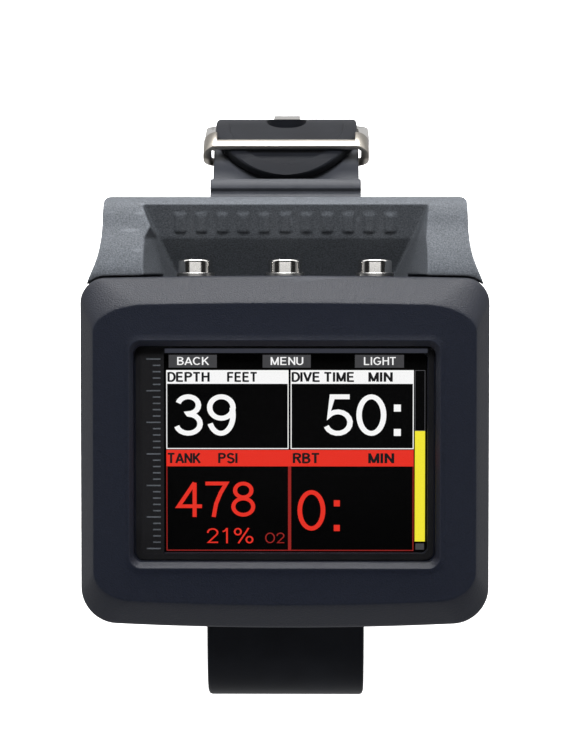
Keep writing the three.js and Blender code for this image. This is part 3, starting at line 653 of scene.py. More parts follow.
# Centrelines of each glyph in a box one unit high; a stroke whose ends meet is a loop.
GLYPHS = {
    "0": [arc(0.32, 0.5, 0.26, 0.5 - STEM, 0, 360, 32)],
    "1": [[(0.14, 0.76), (0.26, 0.82), (0.36, 0.98)], [(0.36, 0), (0.36, 1)]],
    "2": [arc(0.32, 0.7, 0.25, HIGH - 0.7, 185, -40) + [(0.1, LOW), (0.6, LOW)]],
    "3": [arc(0.3, 0.735, 0.22, HIGH - 0.735, 165, -90) + arc(0.3, 0.29, 0.255, 0.228, 88, -165)],
    "4": [[(0.47, 0), (0.47, 0.96)], [(0.47, 0.96), (0.06, 0.3), (0.66, 0.3)]],
    "5": [[(0.56, HIGH), (0.19, HIGH), (0.12, 0.48)] + arc(0.31, 0.32, 0.26, 0.32 - LOW, 128, -160)],
    "7": [[(0.05, HIGH), (0.58, HIGH), (0.44, 0.68), (0.32, 0.36), (0.26, 0)]],
    "8": [arc(0.32, 0.745, 0.21, HIGH - 0.745, 0, 360, 28), arc(0.32, 0.29, 0.255, 0.29 - LOW, 0, 360, 28)],
    "9": [arc(0.31, 0.68, 0.25, HIGH - 0.68, 0, 360, 28), arc(0.3, 0.5, 0.26, 0.5 - LOW, 24, -152, 24)],
    "%": [
        arc(0.22, 0.76, 0.16, 0.2, 0, 360, 20),
        arc(0.82, 0.24, 0.16, 0.2, 0, 360, 20),
        [(0.25, 0), (0.78, 1)],
    ],
    "A": [[(0.03, 0), (0.32, 0.97)], [(0.61, 0), (0.32, 0.97)], [(0.14, 0.3), (0.5, 0.3)]],
    "B": [
        UPRIGHT,
        [(0.1, HIGH), *arc(0.32, 0.755, 0.19, HIGH - 0.755, 90, -90, 10), (0.1, 0.54)],
        [(0.1, 0.51), *arc(0.34, 0.285, 0.21, 0.285 - LOW, 90, -90, 10), (0.1, LOW)],
    ],
    "C": [arc(0.37, 0.5, 0.3, 0.5 - STEM, 42, 318, 24)],
    "D": [UPRIGHT, [(0.1, HIGH), *arc(0.3, 0.5, 0.3, 0.5 - LOW, 90, -90, 16), (0.1, LOW)]],
    "E": [UPRIGHT, [(0.1, HIGH), (0.56, HIGH)], [(0.1, 0.52), (0.52, 0.52)], [(0.1, LOW), (0.58, LOW)]],
    "F": [UPRIGHT, [(0.1, HIGH), (0.56, HIGH)], [(0.1, 0.5), (0.5, 0.5)]],
    "G": [arc(0.38, 0.5, 0.31, 0.5 - STEM, 45, 325, 24) + [(0.66, 0.45), (0.4, 0.45)]],
    "H": [UPRIGHT, [(0.58, 0), (0.58, 1)], [(0.1, 0.53), (0.58, 0.53)]],
    "I": [UPRIGHT],
    "K": [UPRIGHT, [(0.57, 1), (0.12, 0.4)], [(0.26, 0.58), (0.6, 0)]],
    "L": [UPRIGHT, [(0.1, LOW), (0.54, LOW)]],
    "M": [UPRIGHT, [(0.1, 0.95), (0.39, 0.04)], [(0.68, 0.95), (0.39, 0.04)], [(0.68, 0), (0.68, 1)]],
    "N": [UPRIGHT, [(0.1, 0.95), (0.58, 0.05)], [(0.58, 0), (0.58, 1)]],
    "O": [arc(0.38, 0.5, 0.32, 0.5 - STEM, 0, 360, 32)],
    "P": [UPRIGHT, [(0.1, HIGH), *arc(0.34, 0.73, 0.21, HIGH - 0.73, 90, -90, 10), (0.1, 0.52)]],
    "R": [
        UPRIGHT,
        [(0.1, HIGH), *arc(0.34, 0.74, 0.21, HIGH - 0.74, 90, -90, 10), (0.1, 0.54)],
        [(0.36, 0.5), (0.58, 0)],
    ],
    "S": [arc(0.33, 0.73, 0.22, HIGH - 0.73, 20, 270, 18) + arc(0.33, 0.28, 0.24, 0.28 - LOW, 80, -160, 18)],
    "T": [[(0.3, 0), (0.3, 1)], [(0.02, HIGH), (0.58, HIGH)]],
    "U": [[(0.1, 1), (0.1, 0.36), *arc(0.34, 0.34, 0.24, 0.34 - LOW, 180, 360, 14), (0.58, 0.36), (0.58, 1)]],
    "V": [[(0.03, 1), (0.31, 0.03)], [(0.59, 1), (0.31, 0.03)]],
}
# Room for each glyph with the gap after it.
ADVANCE = {"%": 1.12, "O": 0.84, "G": 0.82, "M": 0.84, "C": 0.76, "I": 0.28, "L": 0.64, "F": 0.66, " ": 0.24}
USUAL_ADVANCE = 0.7


def stroke(points, half):
    """Left and right edges of a stroke, mitred at its corners, and whether it is a loop."""
    pts = [Vector(p) for p in points]
    loop = (pts[0] - pts[-1]).length < 1e-6
    if loop:
        pts.pop()
    left, right = [], []
    count = len(pts)
    for i, p in enumerate(pts):
        before = pts[i - 1] if loop or i else p
        after = pts[(i + 1) % count] if loop or i + 1 < count else p
        d0 = (p - before).normalized() if before != p else (after - p).normalized()
        d1 = (after - p).normalized() if after != p else d0
        normal = Vector((-(d0 + d1).y, (d0 + d1).x)).normalized()
        reach = half / max(normal.dot(Vector((-d0.y, d0.x))), 0.5)
        left.append(p + normal * reach)
        right.append(p - normal * reach)
    return left, right, loop


def lettering(name, text, material, u, v, height, width, stem):
    """Figures and capitals drawn in strokes: u and v are the left end and the baseline."""
    z = layer_z(3)
    scale = width / (sum(ADVANCE.get(c, USUAL_ADVANCE) for c in text) - 0.08)
    points, faces = [], []
    at = -0.04
    for glyph in text:
        for level, line in enumerate(GLYPHS.get(glyph, [])):
            left, right, loop = stroke(line, stem)
            faces += ring_faces(len(left), 4, loop, start=len(points))
            foot = z + 0.004 * level
            for a, b in zip(left, right):
                for p, lift in ((a, 0.03), (b, 0.03), (b, 0), (a, 0)):
                    points.append(screen_point(u + (at + p.x) * scale, v - p.y * height, foot + lift))
        at += ADVANCE.get(glyph, USUAL_ADVANCE)
    obj = mesh_object(name, points, faces, material)
    clean(obj)
    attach(obj, "case")


def outlined(u0, v0, u1, v1, t):
    """Four tiles that frame a rectangle with a line of width t."""
    across = [(u0, v0, u1, v0 + t), (u0, v1 - t, u1, v1)]
    return across + [(u0, v0 + t, u0 + t, v1 - t), (u1 - t, v0 + t, u1, v1 - t)]


def build_display():
    """A dive read-out: soft keys, depth and time in white, gas and time left in red, a level bar."""
    size = (SCREEN_W + 2.6, SCREEN_H + 1.8, 0.6)
    back = slab("display_backing", *size, panel_low.z + 0.1, panel_high.z, SCREEN_X, SCREEN_Y, SCREEN)
    bevel_edges(back, 0.1)
    place_on(back, "case", "moulding", "display_panel")
    panel_piece("display_soft_keys", GREY, [(4, 1, 63, 16.5), (119, 1, 178, 16.5), (232, 1, 292, 16.5)], 0)
    white = []
    for u0, u1 in ((CELL_LEFT, CELL_SPLIT), (CELL_SPLIT + CELL_GAP, CELL_RIGHT)):
        white += [(u0, WHITE_TOP, u1, WHITE_HEAD), *outlined(u0, WHITE_TOP, u1, RED_TOP, LINE)]
    panel_piece("display_white_cells", WHITE, white, 1)
    panel_piece("display_red_header", RED, [(CELL_LEFT, RED_TOP + 1, CELL_RIGHT, RED_HEAD)], 1)
    dim = outlined(CELL_LEFT, RED_TOP + 2, CELL_RIGHT, RED_END, LINE)
    dim.append((CELL_SPLIT - 0.6, RED_HEAD, CELL_SPLIT + 3.2, RED_END - LINE))
    panel_piece("display_red_frame", DIM_RED, dim, 0)
    panel_piece("display_level_bar", YELLOW, [(BAR_LEFT, BAR_LEVEL, BAR_RIGHT, 227)], 1)
    panel_piece("display_level_frame", LINE_GREY, outlined(BAR_LEFT, WHITE_TOP, BAR_RIGHT, BAR_LEVEL, 0.6), 0)
    panel_piece("display_level_foot", GREY, [(BAR_LEFT + 1, 229.5, BAR_RIGHT - 1, 237)], 0)
    for text, u, width in (("BACK", 14.5, 39), ("MENU", 129, 40), ("LIGHT", 243, 40)):
        lettering(f"display_key_{text.lower()}", text, WHITE, u, 13.2, 9.6, width, MEDIUM)
    upper = [("depth", "DEPTH", 3, 51), ("feet", "FEET", 76, 37)]
    upper += [("time", "DIVE TIME", 155, 77), ("minutes", "MIN", 249, 29)]
    lower = [("gas", "TANK", 3, 40), ("pressure", "PSI", 65, 24)]
    lower += [("left", "RBT", 156.5, 33), ("left_minutes", "MIN", 249, 31)]
    for v, height, words in ((33.4, 11.4, upper), (132, 12, lower)):
        for name, text, u, width in words:
            lettering(f"display_{name}", text, INK, u, v, height, width, BOLD)
    lettering("display_depth_value", "39", WHITE, 13, 99, 50.5, 75.5, FIGURE)
    lettering("display_time_value", "50", WHITE, 195.5, 99, 50.5, 76.3, FIGURE)
    panel_piece("display_time_colon", WHITE, [(279.7, 61, 288.3, 69.5), (279.7, 90.5, 288.3, 99)], 1)
    lettering("display_gas_value", "478", RED, 15, 197.4, 43.3, 96.5, THIN)
    lettering("display_oxygen_value", "21%", RED, 51, 229.4, 18.6, 58, LIGHT)
    lettering("display_oxygen", "O2", DIM_RED, 122.5, 229.4, 13.2, 24, LIGHT)
    lettering("display_left_value", "0", RED, 163.5, 214.4, 50.2, 34, THIN)
    panel_piece("display_left_colon", RED, [(206.3, 177, 213.7, 184.5), (206.3, 207, 213.7, 214.5)], 1)


def build_window():
    """Hard window with a printed black border and a faint scale down its left side."""
    rings = []
    bevel = 0.2
    for inset, z in ((0, glass_low.z), (0, glass_high.z - bevel), (bevel, glass_high.z)):
        rings.append(rounded_ring(GLASS_W - 2 * inset, GLASS_H - 2 * inset, 1.4 - inset / 2, z, 0, GLASS_Y))
    glass = skin("window_pane", rings, material=GLASS)
    shade(glass)
    place_on(glass, "case", "window", "display_window")
    # The border's opening is a little larger than the lit area, as seen through the window.
    border = []
    for w, h, r, x, y, levels in (
        (GLASS_W - 0.4, GLASS_H - 0.4, 1.3, 0, GLASS_Y, (MASK_Z - 0.05, MASK_Z)),
        (SCREEN_W + 0.3, SCREEN_H + 0.3, 0.3, SCREEN_X, SCREEN_Y, (MASK_Z, MASK_Z - 0.05)),
    ):
        border += [rounded_ring(w, h, r, z, x, y, edge=1) for z in levels]
    mask = skin("window_black_border", border, closed=True, material=INK)
    shade(mask)
    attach(mask, "case")
    screen_top = SCREEN_Y + SCREEN_H / 2
    # A glowing strip above the lit area: a painted sheen on the top of the window's bezel.
    sheen_band = (SCREEN_X - SCREEN_W / 2, SCREEN_X + SCREEN_W / 2, screen_top + 0.25, screen_top + 1)
    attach(blocks("window_top_painted_sheen", [(*sheen_band, glass_low.z - 0.035, glass_low.z - 0.01)], PAINTED_SHEEN_BAND), "case")
    marks = []
    spaces = 30
    scale_end = 0.8  # from the screen's corners
    for i in range(spaces + 1):
        start = -23.7 if i % 5 == 0 else -22.6
        y = screen_top - scale_end - i * (SCREEN_H - 2 * scale_end) / spaces
        marks.append((start, -21.3, y - 0.11, y + 0.11, MASK_Z + 0.02, MASK_Z + 0.07))
    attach(blocks("window_scale_marks", marks, FAINT), "case")


# ------ guard frame
GUARD_HALF = 32.2  # half its width at the 12 o'clock end
RAMP_LOW = (36.6, 8.2)  # the finger ramp's ends, as (y, z)
RAMP_HIGH = (GUARD_END - 1.4, 11.4)
SOLE = -4  # below everything the guard has
LUG_GAP = 14.7  # half the room for a strap between its lugs
EAR_W = 5.0


def guard_plan(z, grow):
    """Plan of the guard at a height: round outer corners, sides that flare into horns round the case."""
    half = GUARD_HALF + grow
    side = [(half + 2, 20), (half + 2.7, 23), (half + 3.1, 25.6), (half + 2.9, 27.2), (half + 2.2, 28.8)]
    side += [(half + 0.9, 32), (half + 0.3, 34.2), (half, 37), (half, 41)]
    right = [tuple(p) for p in curve_points(side, 8)]
    r = 1.0
    for i in range(1, 9):
        a = i / 8 * TAU / 4
        right.append((half - r + r * math.cos(a), GUARD_END - r + r * math.sin(a)))
    left = [(-x, y) for x, y in reversed(right)]
    return [(x, y, z) for x, y in right + left]


def lug_profile():
    """Side outline of the guard's 12 o'clock end: sole, rounded rim, slope up to the case, horns."""
    end = GUARD_END
    base = SPLIT_Z - CLEARANCE
    top = [(CASE_TOP + 0.3, 18), (CASE_TOP + 1.6, 17.7), (CASE_TOP + 4.5, 16.3), (end - 5.5, 13.7)]
    top += [(end - 3, 12.4), (end - 1.4, 11.2), (end - 0.5, 9.6), (end, 6), (end - 0.3, 0.2)]
    top.append((end - 1.6, -1.1))
    line = [tuple(p) for p in curve_points(top, 6)]
    return [*line, (39, -1.2), (34, -0.4), (20, 1), (20, base), (23.5, base), (26.5, 17.2)]


def hopper_tool():
    """The hollow the buttons stand in: finger ramp, drop, and splayed sides."""
    rings = []
    foot = (CASE_TOP - 1, 1.6)
    for (y, z), half, mouth in ((foot, 18.9, 26.3), (RAMP_LOW, 22.5, 27.4), (RAMP_HIGH, 25.2, 25.7)):
        rings.append([(-half, y, z), (-mouth, y, 24), (mouth, y, 24), (half, y, z)])
    return skin("hopper", rings)


def grip_ribs():
    """Plain raised ribs across the finger ramp."""
    foot = Vector(RAMP_LOW)
    slope = (Vector(RAMP_HIGH) - foot).normalized()
    up = Vector((-slope.y, slope.x))
    outline = []
    for along, rise in ((1.2, -0.4), (4.9, -0.4), (4.9, 0.22), (4.6, 0.32), (1.5, 0.32), (1.2, 0.22)):
        outline.append(tuple(foot + slope * along + up * rise))
    pitch = 3.7
    half = 0.85
    return [side_prism("rib", outline, i * pitch - half, i * pitch + half) for i in range(-5, 6)]


def build_guard():
    """Sloped end trimmed to its plan, collar under the case and ears, less the rooms for all they hold."""
    seat = SPLIT_Z - CLEARANCE
    half = GUARD_HALF + 4  # past the plan
    body = side_prism("guard_frame_shell", lug_profile(), -half, half, GUARD_PAINTED_LIGHTER)
    plan = skin("plan", [guard_plan(-3, -0.8), guard_plan(4, -0.4), guard_plan(19.5, 0)])
    boolean(body, "INTERSECT", [plan])
    collar = []
    top = (CASE_W - 1.6, CASE_H - 1.6, 7, seat)
    for size in ((61.4, 51.4, 7.8, 0.6), (62, 52, 8, 0.9), (66.5, 56.5, 8.5, 3.4), top):
        collar.append(rounded_ring(*size))
    ear = [(-22, 5), (-22, 0.8), (-26.4, -1.1), (-29.4, -1.3), (-31.2, 0), (-31.6, 2), (-30.6, 4.4), (-29, 6)]
    ears = [side_prism("ear", ear, x, x + EAR_W) for x in (-LUG_GAP - EAR_W, LUG_GAP)]
    join(body, skin("collar", collar), *ears)
    upper_bay = [(35.2, SOLE), (35.2, 4.2), (37.6, 6.4), (47, 6.4), (47, SOLE)]
    lower_bay = [(-24.4, SOLE), (-24.4, 4.4), (-26, 6.1), (-37, 6.1), (-37, SOLE)]
    tools = [
        slab("middle", 48.6, 40.6, 6, SOLE, 20),
        slab("seat", CASE_W - 3.5, CASE_H - 3.3, 9.3, 6.3, 20),
        skin("clearance", [case_ring(CASE_W + 0.5, CASE_H + 0.5, CASE_CORNERS, z) for z in (seat, 30)]),
        hopper_tool(),
        side_prism("bay", upper_bay, -LUG_GAP, LUG_GAP),
        side_prism("bay", lower_bay, -LUG_GAP, LUG_GAP),
    ]
    for i in range(1, 5):
        middle = node_middle(f"case_screw_{i}")
        tools.append(rod("head", "z", 2.6, -3, 4.2, (middle.x, middle.y, 0)))
        tools.append(rod("shank", "z", 1.5, 4, 8, (middle.x, middle.y, 0)))
    cut(body, *tools)
    join(body, *grip_ribs())
    soften(body, 0.24, 0.35, GUARD_PAINTED_LIGHTER)
    place_on(body, "case", "guard", "guard_frame")


# ------ buttons
CAP_GAP = 0.12  # between a cap and its seat
STEM_HOLE_R = 1.25


def cap_profile(r, start, tip):
    """A button from its stem's foot, with a clip groove, past the seal's groove to its round-edged tip."""
    groove = tip - 5.7
    profile = [(0, start), (0.85, start), (0.9, start + 0.1), (0.9, start + 0.5), (0.7, start + 0.5)]
    profile += [(0.7, start + 1.1), (1.1, start + 1.1), (1.1, groove - 0.7), (r, groove - 0.7)]
    profile += [(r, groove), (r - 0.85, groove), (r - 0.85, groove + 1.1), (r, groove + 1.1)]
    profile += [(r, tip - 0.55), (r, tip - 0.45), (r - 0.04, tip - 0.3), (r - 0.14, tip - 0.16)]
    return profile + [(r - 0.3, tip - 0.05), (r - 0.5, tip), (0, tip)]


def seat_profile(bore, flange, low, high):
    """A cap's seat: a cup whose floor has a hole for the stem."""
    floor = low + 1.2
    profile = [(bore, floor), (bore, high - 0.05), (bore + 0.05, high), (flange - 0.06, high)]
    profile += [(flange, high - 0.06), (flange, low + 0.2), (flange - 0.2, low)]
    return profile + [(STEM_HOLE_R, low), (STEM_HOLE_R, floor)]


def build_buttons():
    for side in SIDES:
        low, high = node_box(f"button_{side}")
        at = ((low.x + high.x) / 2, 0, BUTTON_Z)
        r = (high.x - low.x) / 2
        rings = turned(cap_profile(r, low.y, high.y), "y", at, 64)
        cap = skin(f"button_cap_{side}", rings, material=POLISHED)
        clean(cap, merge=1e-7)
        shade(cap, 25)
        place_on(cap, f"plunger_{side}", "polished_steel", f"button_{side}")
        low, high = node_box(f"button_bush_{side}")
        flange = (high.x - low.x) / 2 - 0.05
        rings = turned(seat_profile(r + CAP_GAP, flange, low.y, high.y), "y", at, 64)
        seat = skin(f"button_seat_{side}", rings, closed=True, material=TURNED)
        shade(seat, 25)
        place_on(seat, "case", "brushed_steel", f"button_bush_{side}")


# ------ strap
LONG_THICK = 2.2
SHORT_THICK = 2.1
SHORT_HALF = 13.3
SLOT_HEIGHTS = (-16.2, -27.9, -39.8)
TAIL_HALF = 13.1
ROOT_HALF = 14.1
RIM = 2.4
PANEL_END = 17.0  # the recess in the tail has faded out this far from its tip
BACK_SPLIT = 14.0  # the long strap's two pieces meet here, behind the wrist


def clamped(value, low=0):
    return min(max(value, low), 1)


def overlap_arc(radius, *angles):
    """Points of (y, z) on an arc round the centre that both straps follow."""
    turns = [math.radians(a) for a in angles]
    return [tuple(OVERLAP_CENTRE + radius * Vector((math.cos(a), math.sin(a)))) for a in turns]


def strap_sweep(name, line, half_width, section):
    """A strap skinned from cross-sections: section(s, half) gives (x, height) pairs at distance s."""
    normals = normals_of(line)
    rings = []
    s = 0.0
    for i, point in enumerate(line):
        if i:
            s += (point - line[i - 1]).length
        places = [(x, point + normals[i] * h) for x, h in section(s, half_width(s))]
        rings.append([(x, p.x, p.y) for x, p in places])
    # The long strap takes the elastomer copy that is painted darker, a painted shade.
    return skin(name, rings, material=STRAP_PAINTED_SHADE)


def panelled(half, thick, edge, panel, depth):
    """A strap's section with rounded edges and a shallow panel sunk in its outer face."""
    t = thick / 2
    corner = edge * 0.3
    wall = min(0.35, panel)
    pts = [(half, -t + edge), (half - corner, -t + corner), (half - edge, -t)]
    pts += [(-half + edge, -t), (-half + corner, -t + corner), (-half, -t + edge)]
    pts += [(-half, t - edge), (-half + corner, t - corner), (-half + edge, t)]
    pts += [(-panel - 0.001, t), (-panel + wall, t - depth), (0, t - depth), (panel - wall, t - depth)]
    return pts + [(panel + 0.001, t), (half - edge, t), (half - corner, t - corner), (half, t - edge)]


def round_half(radius, s):
    """Half the width, at s from the strap's tip, of a strip whose round end shares the tip's centre."""
    return math.sqrt(max(radius**2 - max(TAIL_HALF - s, 0) ** 2, 0))


def tail_half(s):
    return max(round_half(TAIL_HALF, s), 0.02)


def tail_section(s, half):
    """The panel starts inside a rim round the tip and fades out at PANEL_END."""
    panel = round_half(TAIL_HALF - RIM, s)
    depth = 0.4 * clamped((PANEL_END - s) / 4, 0.02) if panel else 0
    return panelled(half, LONG_THICK, min(0.6, half * 0.5), panel, depth)


def root_half(s):
    return TAIL_HALF + (ROOT_HALF - TAIL_HALF) * clamped((s - 20) / 40)


def root_section(s, half):
    """The panel fades out, and then the strap thickens towards the lugs."""
    thick = LONG_THICK + 0.9 * clamped((s - 88) / 10)
    return panelled(half, thick, 0.6, half - RIM, 0.38 * clamped(1 - (s - 78) / 6))


def resample(line, spacing):
    """Points at even spacing along a line, and its end."""
    out = [line[0].copy()]
    left = spacing
    for a, b in zip(line, line[1:]):
        length = (b - a).length
        done = 0.0
        while length - done >= left:
            done += left
            out.append(a.lerp(b, done / length))
            left = spacing
        left -= length - done
    if (out[-1] - line[-1]).length > 1e-6:
        out.append(line[-1].copy())
    return out


def along(line, distance):
    """The point at a distance along a line, and the line's own points after it."""
    for i, (a, b) in enumerate(zip(line, line[1:])):
        length = (b - a).length
        if distance < length:
            return a.lerp(b, distance / length), line[i + 1 :]
        distance -= length
    return line[-1].copy(), []


def refine_tip(line):
    """Closer sections near the round tip."""
    head = []
    for i in range(24):
        d = TAIL_HALF * (1 - math.cos(i / 24 * TAU / 4))
        head.append(along(line, max(d, 0.01))[0])
    middle, after = along(line, TAIL_HALF)
    return head + resample([middle, *after], 0.7)


def long_strap_line():
    """Points of the long strap's centreline: from the tip to its back, and from there to the lower lugs."""
    tail = overlap_arc(OVERLAP_R + 1.43, 64, 52, 40, 28, 16, 5)
    tail += [(58.4, -22.5), (58.5, -26.2), (57.4, -31), (54.6, -36.4), (53.2, -43), (52.6, -50)]
    bottom = node_box("strap_back")[0].z + LONG_THICK / 2
    middle = (BACK_SPLIT, bottom)
    back = [tuple(UPPER_BEND), (44, bottom + 1), (36, bottom), (28, bottom), middle]
    rear = [middle, (0, bottom), (-7, bottom + 0.1), (-13, bottom + 1.3), tuple(LOWER_BEND)]
    rear += [(-28.5, -53), (-38, -43.5), (-44, -31), (-46, -17), (-45.6, -6)]
    rear += [(-43.6, -0.2), (-39, 2.4), (-33, 3.2), (LOWER_PIN.x - 1.5, LOWER_PIN.y + 1.6)]
    return tail + back, rear


def slot_tool(line, height):
    """A round-ended slot through the strap where its line comes down past a height."""
    for a, b in zip(line, line[1:]):
        if b.y < height:
            break
    direction = b - a
    tool = slab("slot", 7.4, 6.8, 3, -3, 3, corner=8)
    turn = Matrix.Rotation(math.atan2(direction.y, direction.x), 4, "X")
    tool.data.transform(Matrix.Translation((0, a.x * MM, a.y * MM)) @ turn)
    return tool


def bend(piece):
    """Bakes the strap piece's placement into its mesh."""
    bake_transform(piece)


def build_long_strap():
    front_line, rear_line = long_strap_line()
    # The line runs from the tip to the back, so its left side is the strap's outer face.
    line = curve_points(front_line + rear_line[1:2], 12)
    last = next(i for i, p in enumerate(line) if p.x <= BACK_SPLIT + 0.01)
    line = refine_tip(line[: last + 1])
    front = strap_sweep("long_strap_front", line, tail_half, tail_section)
    cut(front, *[slot_tool(line, height) for height in SLOT_HEIGHTS])
    shade(front, 30)
    bend(front)
    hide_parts("strap_tail")

    line = resample(curve_points(front_line[-2:-1] + rear_line, 12), 0.8)
    start = Vector(rear_line[0])
    line = [start] + [p for p in line if p.x <= BACK_SPLIT and (p - start).length > 0.4]
    rear = strap_sweep("long_strap_rear", line, root_half, root_section)
    knuckle = rod("knuckle", "x", 2.7, -ROOT_HALF, ROOT_HALF, (0, *LOWER_PIN))
    bevel_edges(knuckle, 0.5)
    join(rear, knuckle)
    cut(rear, rod("bore", "x", BAR_BORE_R, -20, 20, (0, *LOWER_PIN)))
    shade(rear, 30)
    bend(rear)
    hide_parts("strap_back", "strap_root")


def build_short_strap():
    """Root with a cross ridge over the spring bar, then a plain strip to the buckle pin."""
    y, z = UPPER_PIN
    outline = [(y - 1.9, z + 1.9), (y - 2.6, z + 0.5), (y - 2.2, z - 1.6), (y, z - 2.7)]
    outline += [(43.2, -3.8), (44.8, -4.6), (46.4, -3.2), (45.6, -2.4), (46.6, -0.6), (47.3, 1)]
    outline += [(47.1, 2.4), (45.6, 3.4), (44.9, 2.9), (44.2, 3.7), (42, 4.4), (y, z + 2.7)]
    smooth = [tuple(p) for p in curve_points([*outline, outline[0]], 5)][:-1]
    # The short strap takes the elastomer copy that is painted lighter, a painted highlight.
    root = side_prism("short_strap_body", smooth, -13.5, 13.5, SHORT_STRAP_PAINTED_LIGHT)
    y, z = BUCKLE_PIN
    line = [(UPPER_PIN.x + 1, UPPER_PIN.y - 0.6), (44.4, -3.6)]
    line += [*overlap_arc(OVERLAP_R - 1.15, 62, 52, 40, 28, 16, 5), (y, z + 0.4)]
    strap = side_prism("strip", strip(curve_points(line, 10), SHORT_THICK), -SHORT_HALF, SHORT_HALF)
    join(root, strap, rod("end", "x", 1.85, -SHORT_HALF, SHORT_HALF, (0, y, z)))
    cut(root, blocks("tongue_slot", [(-3.1, 3.1, y - 3.2, y + 4, z - 3, z + 3.4)]))
    for radius, pin in ((BAR_BORE_R, UPPER_PIN), (PIN_BORE_R, BUCKLE_PIN)):
        cut(root, rod("bore", "x", radius, -20, 20, (0, *pin)))
    soften(root, 0.2, 0.3, SHORT_STRAP_PAINTED_LIGHT)
    place_on(root, "upper_strap", "strap", "short_strap")


# ------ steel fittings
def refined(node, body, material, bevel, slot):
    """A smooth copy of a CAD node: its flat facets joined up and its edges rounded."""
    mesh = frame["nodes"][node].data.copy()
    mesh.materials.clear()
    obj = add_object(f"{node}_shape", mesh, material)
    bm = bmesh.new()
    bm.from_mesh(mesh)
    bmesh.ops.remove_doubles(bm, verts=bm.verts, dist=1e-6)
    bmesh.ops.dissolve_limit(bm, angle_limit=math.radians(2), verts=bm.verts, edges=bm.edges)
    bm.to_mesh(mesh)
    bm.free()
    if bevel:
        bevel_edges(obj, bevel, 2, 30)
    else:
        shade(obj, 30)
    place_on(obj, body, slot, node)
    return obj


def build_fittings():
    refined("strap_keeper", "keeper", SATIN, 0.3, "polished_steel")
    refined("buckle_frame", "buckle", POLISHED, 0.35, "polished_steel")
    refined("buckle_tongue", "tongue", POLISHED, 0.2, "polished_steel")
    refined("back_case", "case", BACK, 0.12, "moulding")
    for i in range(1, 5):
        refined(f"case_screw_{i}", "case", POLISHED, 0.08, "polished_steel")
        refined(f"charge_contact_{i}", "case", GOLD, 0.08, "gold")


def build_springs():
    """Springs, each a smooth copy of its CAD node with a mesh of its own."""
    for side in SIDES:
        node = f"button_spring_{side}"
        coil = refined(node, "case", TURNED, 0, "brushed_steel")
        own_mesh(coil)


def dress_inner_parts():
    """Finishes for the CAD nodes that are shown as they are."""
    finishes = {
        SEAL: ["window_seal", "battery_pad", "case_seal", "sensor_seal"],
        TURNED: ["display_frame", "pressure_sensor", "upper_spring_bar", "lower_spring_bar", "buckle_pin"],
        BOARD: ["main_board"],
        CELL: ["battery_pack"],
        BRASS: ["sound_disc"],
        BACK: [],
    }
    for piece, material in (("seal", SEAL), ("clip", TURNED), ("switch", BACK)):
        finishes[material] += [f"button_{piece}_{side}" for side in SIDES]
    for material, nodes in finishes.items():
        for node in nodes:
            mesh = frame["nodes"][node].data
            mesh.materials.clear()
            mesh.materials.append(material)


build_front_housing()
build_window()
build_display()
build_guard()
build_buttons()
build_long_strap()
build_short_strap()
build_fittings()
build_springs()
dress_inner_parts()


# ------ floor, light and camera
def build_floor():
    look = Look("studio_floor", (0.86, 0.86, 0.86), 0.8, Emission_Color=(1, 1, 1, 1), Emission_Strength=1.0)
    look.tint(look.noise(60, 2), 0.01)
    size = 1500
    z = cad_box[0][2] / MM - 0.2
    corners = [(-size, -size, z), (size, -size, z), (size, size, z), (-size, size, z)]
    floor = mesh_object("floor", corners, [(0, 1, 2, 3)], look.material)
    floor.visible_glossy = False


def soft_light(name, place, target, size, power, glossy=True):
    data = bpy.data.lights.new(name, "AREA")
    data.shape = "RECTANGLE"
    data.size, data.size_y = size
    data.energy = power
    obj = bpy.data.objects.new(name, data)
    obj.location = place
    obj.rotation_euler = (Vector(target) - Vector(place)).to_track_quat("-Z", "Y").to_euler()
    obj.visible_glossy = glossy
    bpy.context.scene.collection.objects.link(obj)


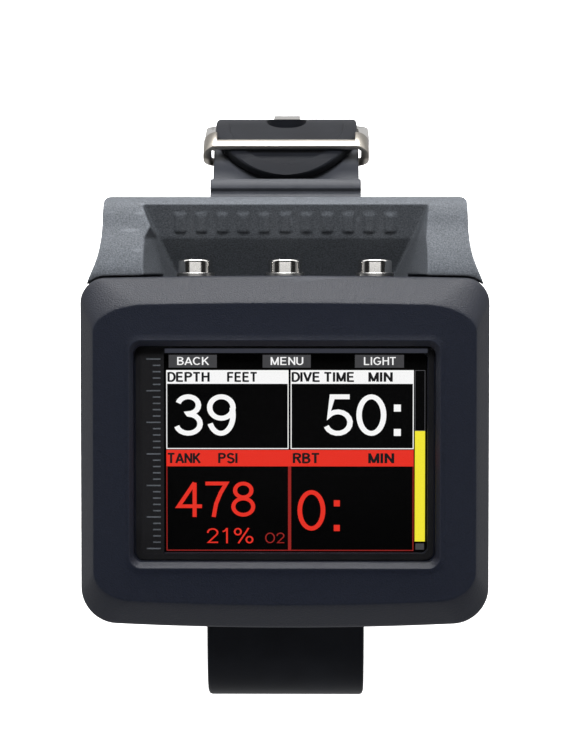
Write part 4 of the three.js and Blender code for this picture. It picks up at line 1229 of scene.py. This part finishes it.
def build_sky():
    """A studio seen in reflections: a ring round the horizon that is brightest at 12 o'clock, a grey floor,
    and dark behind the camera but for a bright card over the buttons."""
    world = bpy.data.worlds.new("studio")
    world.use_nodes = True
    nodes = Nodes(world.node_tree)

    def math_node(operation, *values):
        node = nodes.add("ShaderNodeMath")
        node.operation = operation
        for socket, value in zip(node.inputs, values):
            nodes.set(socket, value)
        return node.outputs[0]

    def falloff(value, start, end):
        """One below start, nought above end."""
        node = nodes.add("ShaderNodeMapRange", Value=value, From_Min=start, From_Max=end, To_Min=1, To_Max=0)
        node.interpolation_type = "SMOOTHSTEP"
        return node.outputs["Result"]

    generated = nodes.add("ShaderNodeTexCoord").outputs["Generated"]
    x, y, z = nodes.add("ShaderNodeSeparateXYZ", Vector=generated).outputs
    horizon = falloff(math_node("ABSOLUTE", z), 0.12, 0.34)
    towards_twelve = math_node("MULTIPLY_ADD", math_node("MAXIMUM", y, 0), 1.8, 0.28)
    ring = math_node("MULTIPLY", horizon, towards_twelve)
    across = falloff(math_node("ABSOLUTE", x), 0.56, 0.68)
    up = math_node("MULTIPLY", falloff(math_node("MULTIPLY", y, -1), -0.004, 0.012), falloff(y, 0.05, 0.14))
    card = math_node("MULTIPLY", math_node("MULTIPLY", across, up), math_node("GREATER_THAN", z, 0.2))
    below = math_node("MULTIPLY", falloff(z, -0.3, -0.1), 0.55)
    total = math_node("ADD", math_node("ADD", ring, 0.02), math_node("MULTIPLY", card, 1.35))
    total = math_node("ADD", total, below)
    nodes.feed(nodes.tree.nodes["Background"], Color=(1, 1, 1, 1), Strength=total)
    bpy.context.scene.world = world


def build_studio():
    build_floor()
    soft_light("key_above", (0.0, 0.9, 0.13), (0, 0.03, 0.01), (0.8, 0.25), 8.0)
    soft_light("fill_front", (0.0, 0.6, 0.65), (0, 0.03, 0.01), (0.3, 0.3), 15.0, glossy=False)
    soft_light("fill_low", (0.0, -0.65, 0.3), (0, 0, 0), (0.5, 0.2), 4.0, glossy=False)
    build_sky()
    bpy.context.scene.view_settings.view_transform = "Standard"


def build_camera():
    """Looks down at the display, leaning a little from 12 o'clock."""
    height = 400
    data = bpy.data.cameras.new("camera")
    data.lens = 112.9
    data.clip_start = 0.01
    camera = bpy.data.objects.new("camera", data)
    place = Vector((0.0036, 0.0305, (FRONT_Z + height) * MM))
    target = Vector((-0.0006, 0.0131, FRONT_Z * MM))
    back = (place - target).normalized()
    right = Vector((0, 1, 0)).cross(back).normalized()
    turn = Matrix((right, back.cross(right), back)).transposed()
    camera.matrix_world = Matrix.Translation(place) @ turn.to_4x4()
    bpy.context.scene.collection.objects.link(camera)
    bpy.context.scene.camera = camera


build_studio()
build_camera()
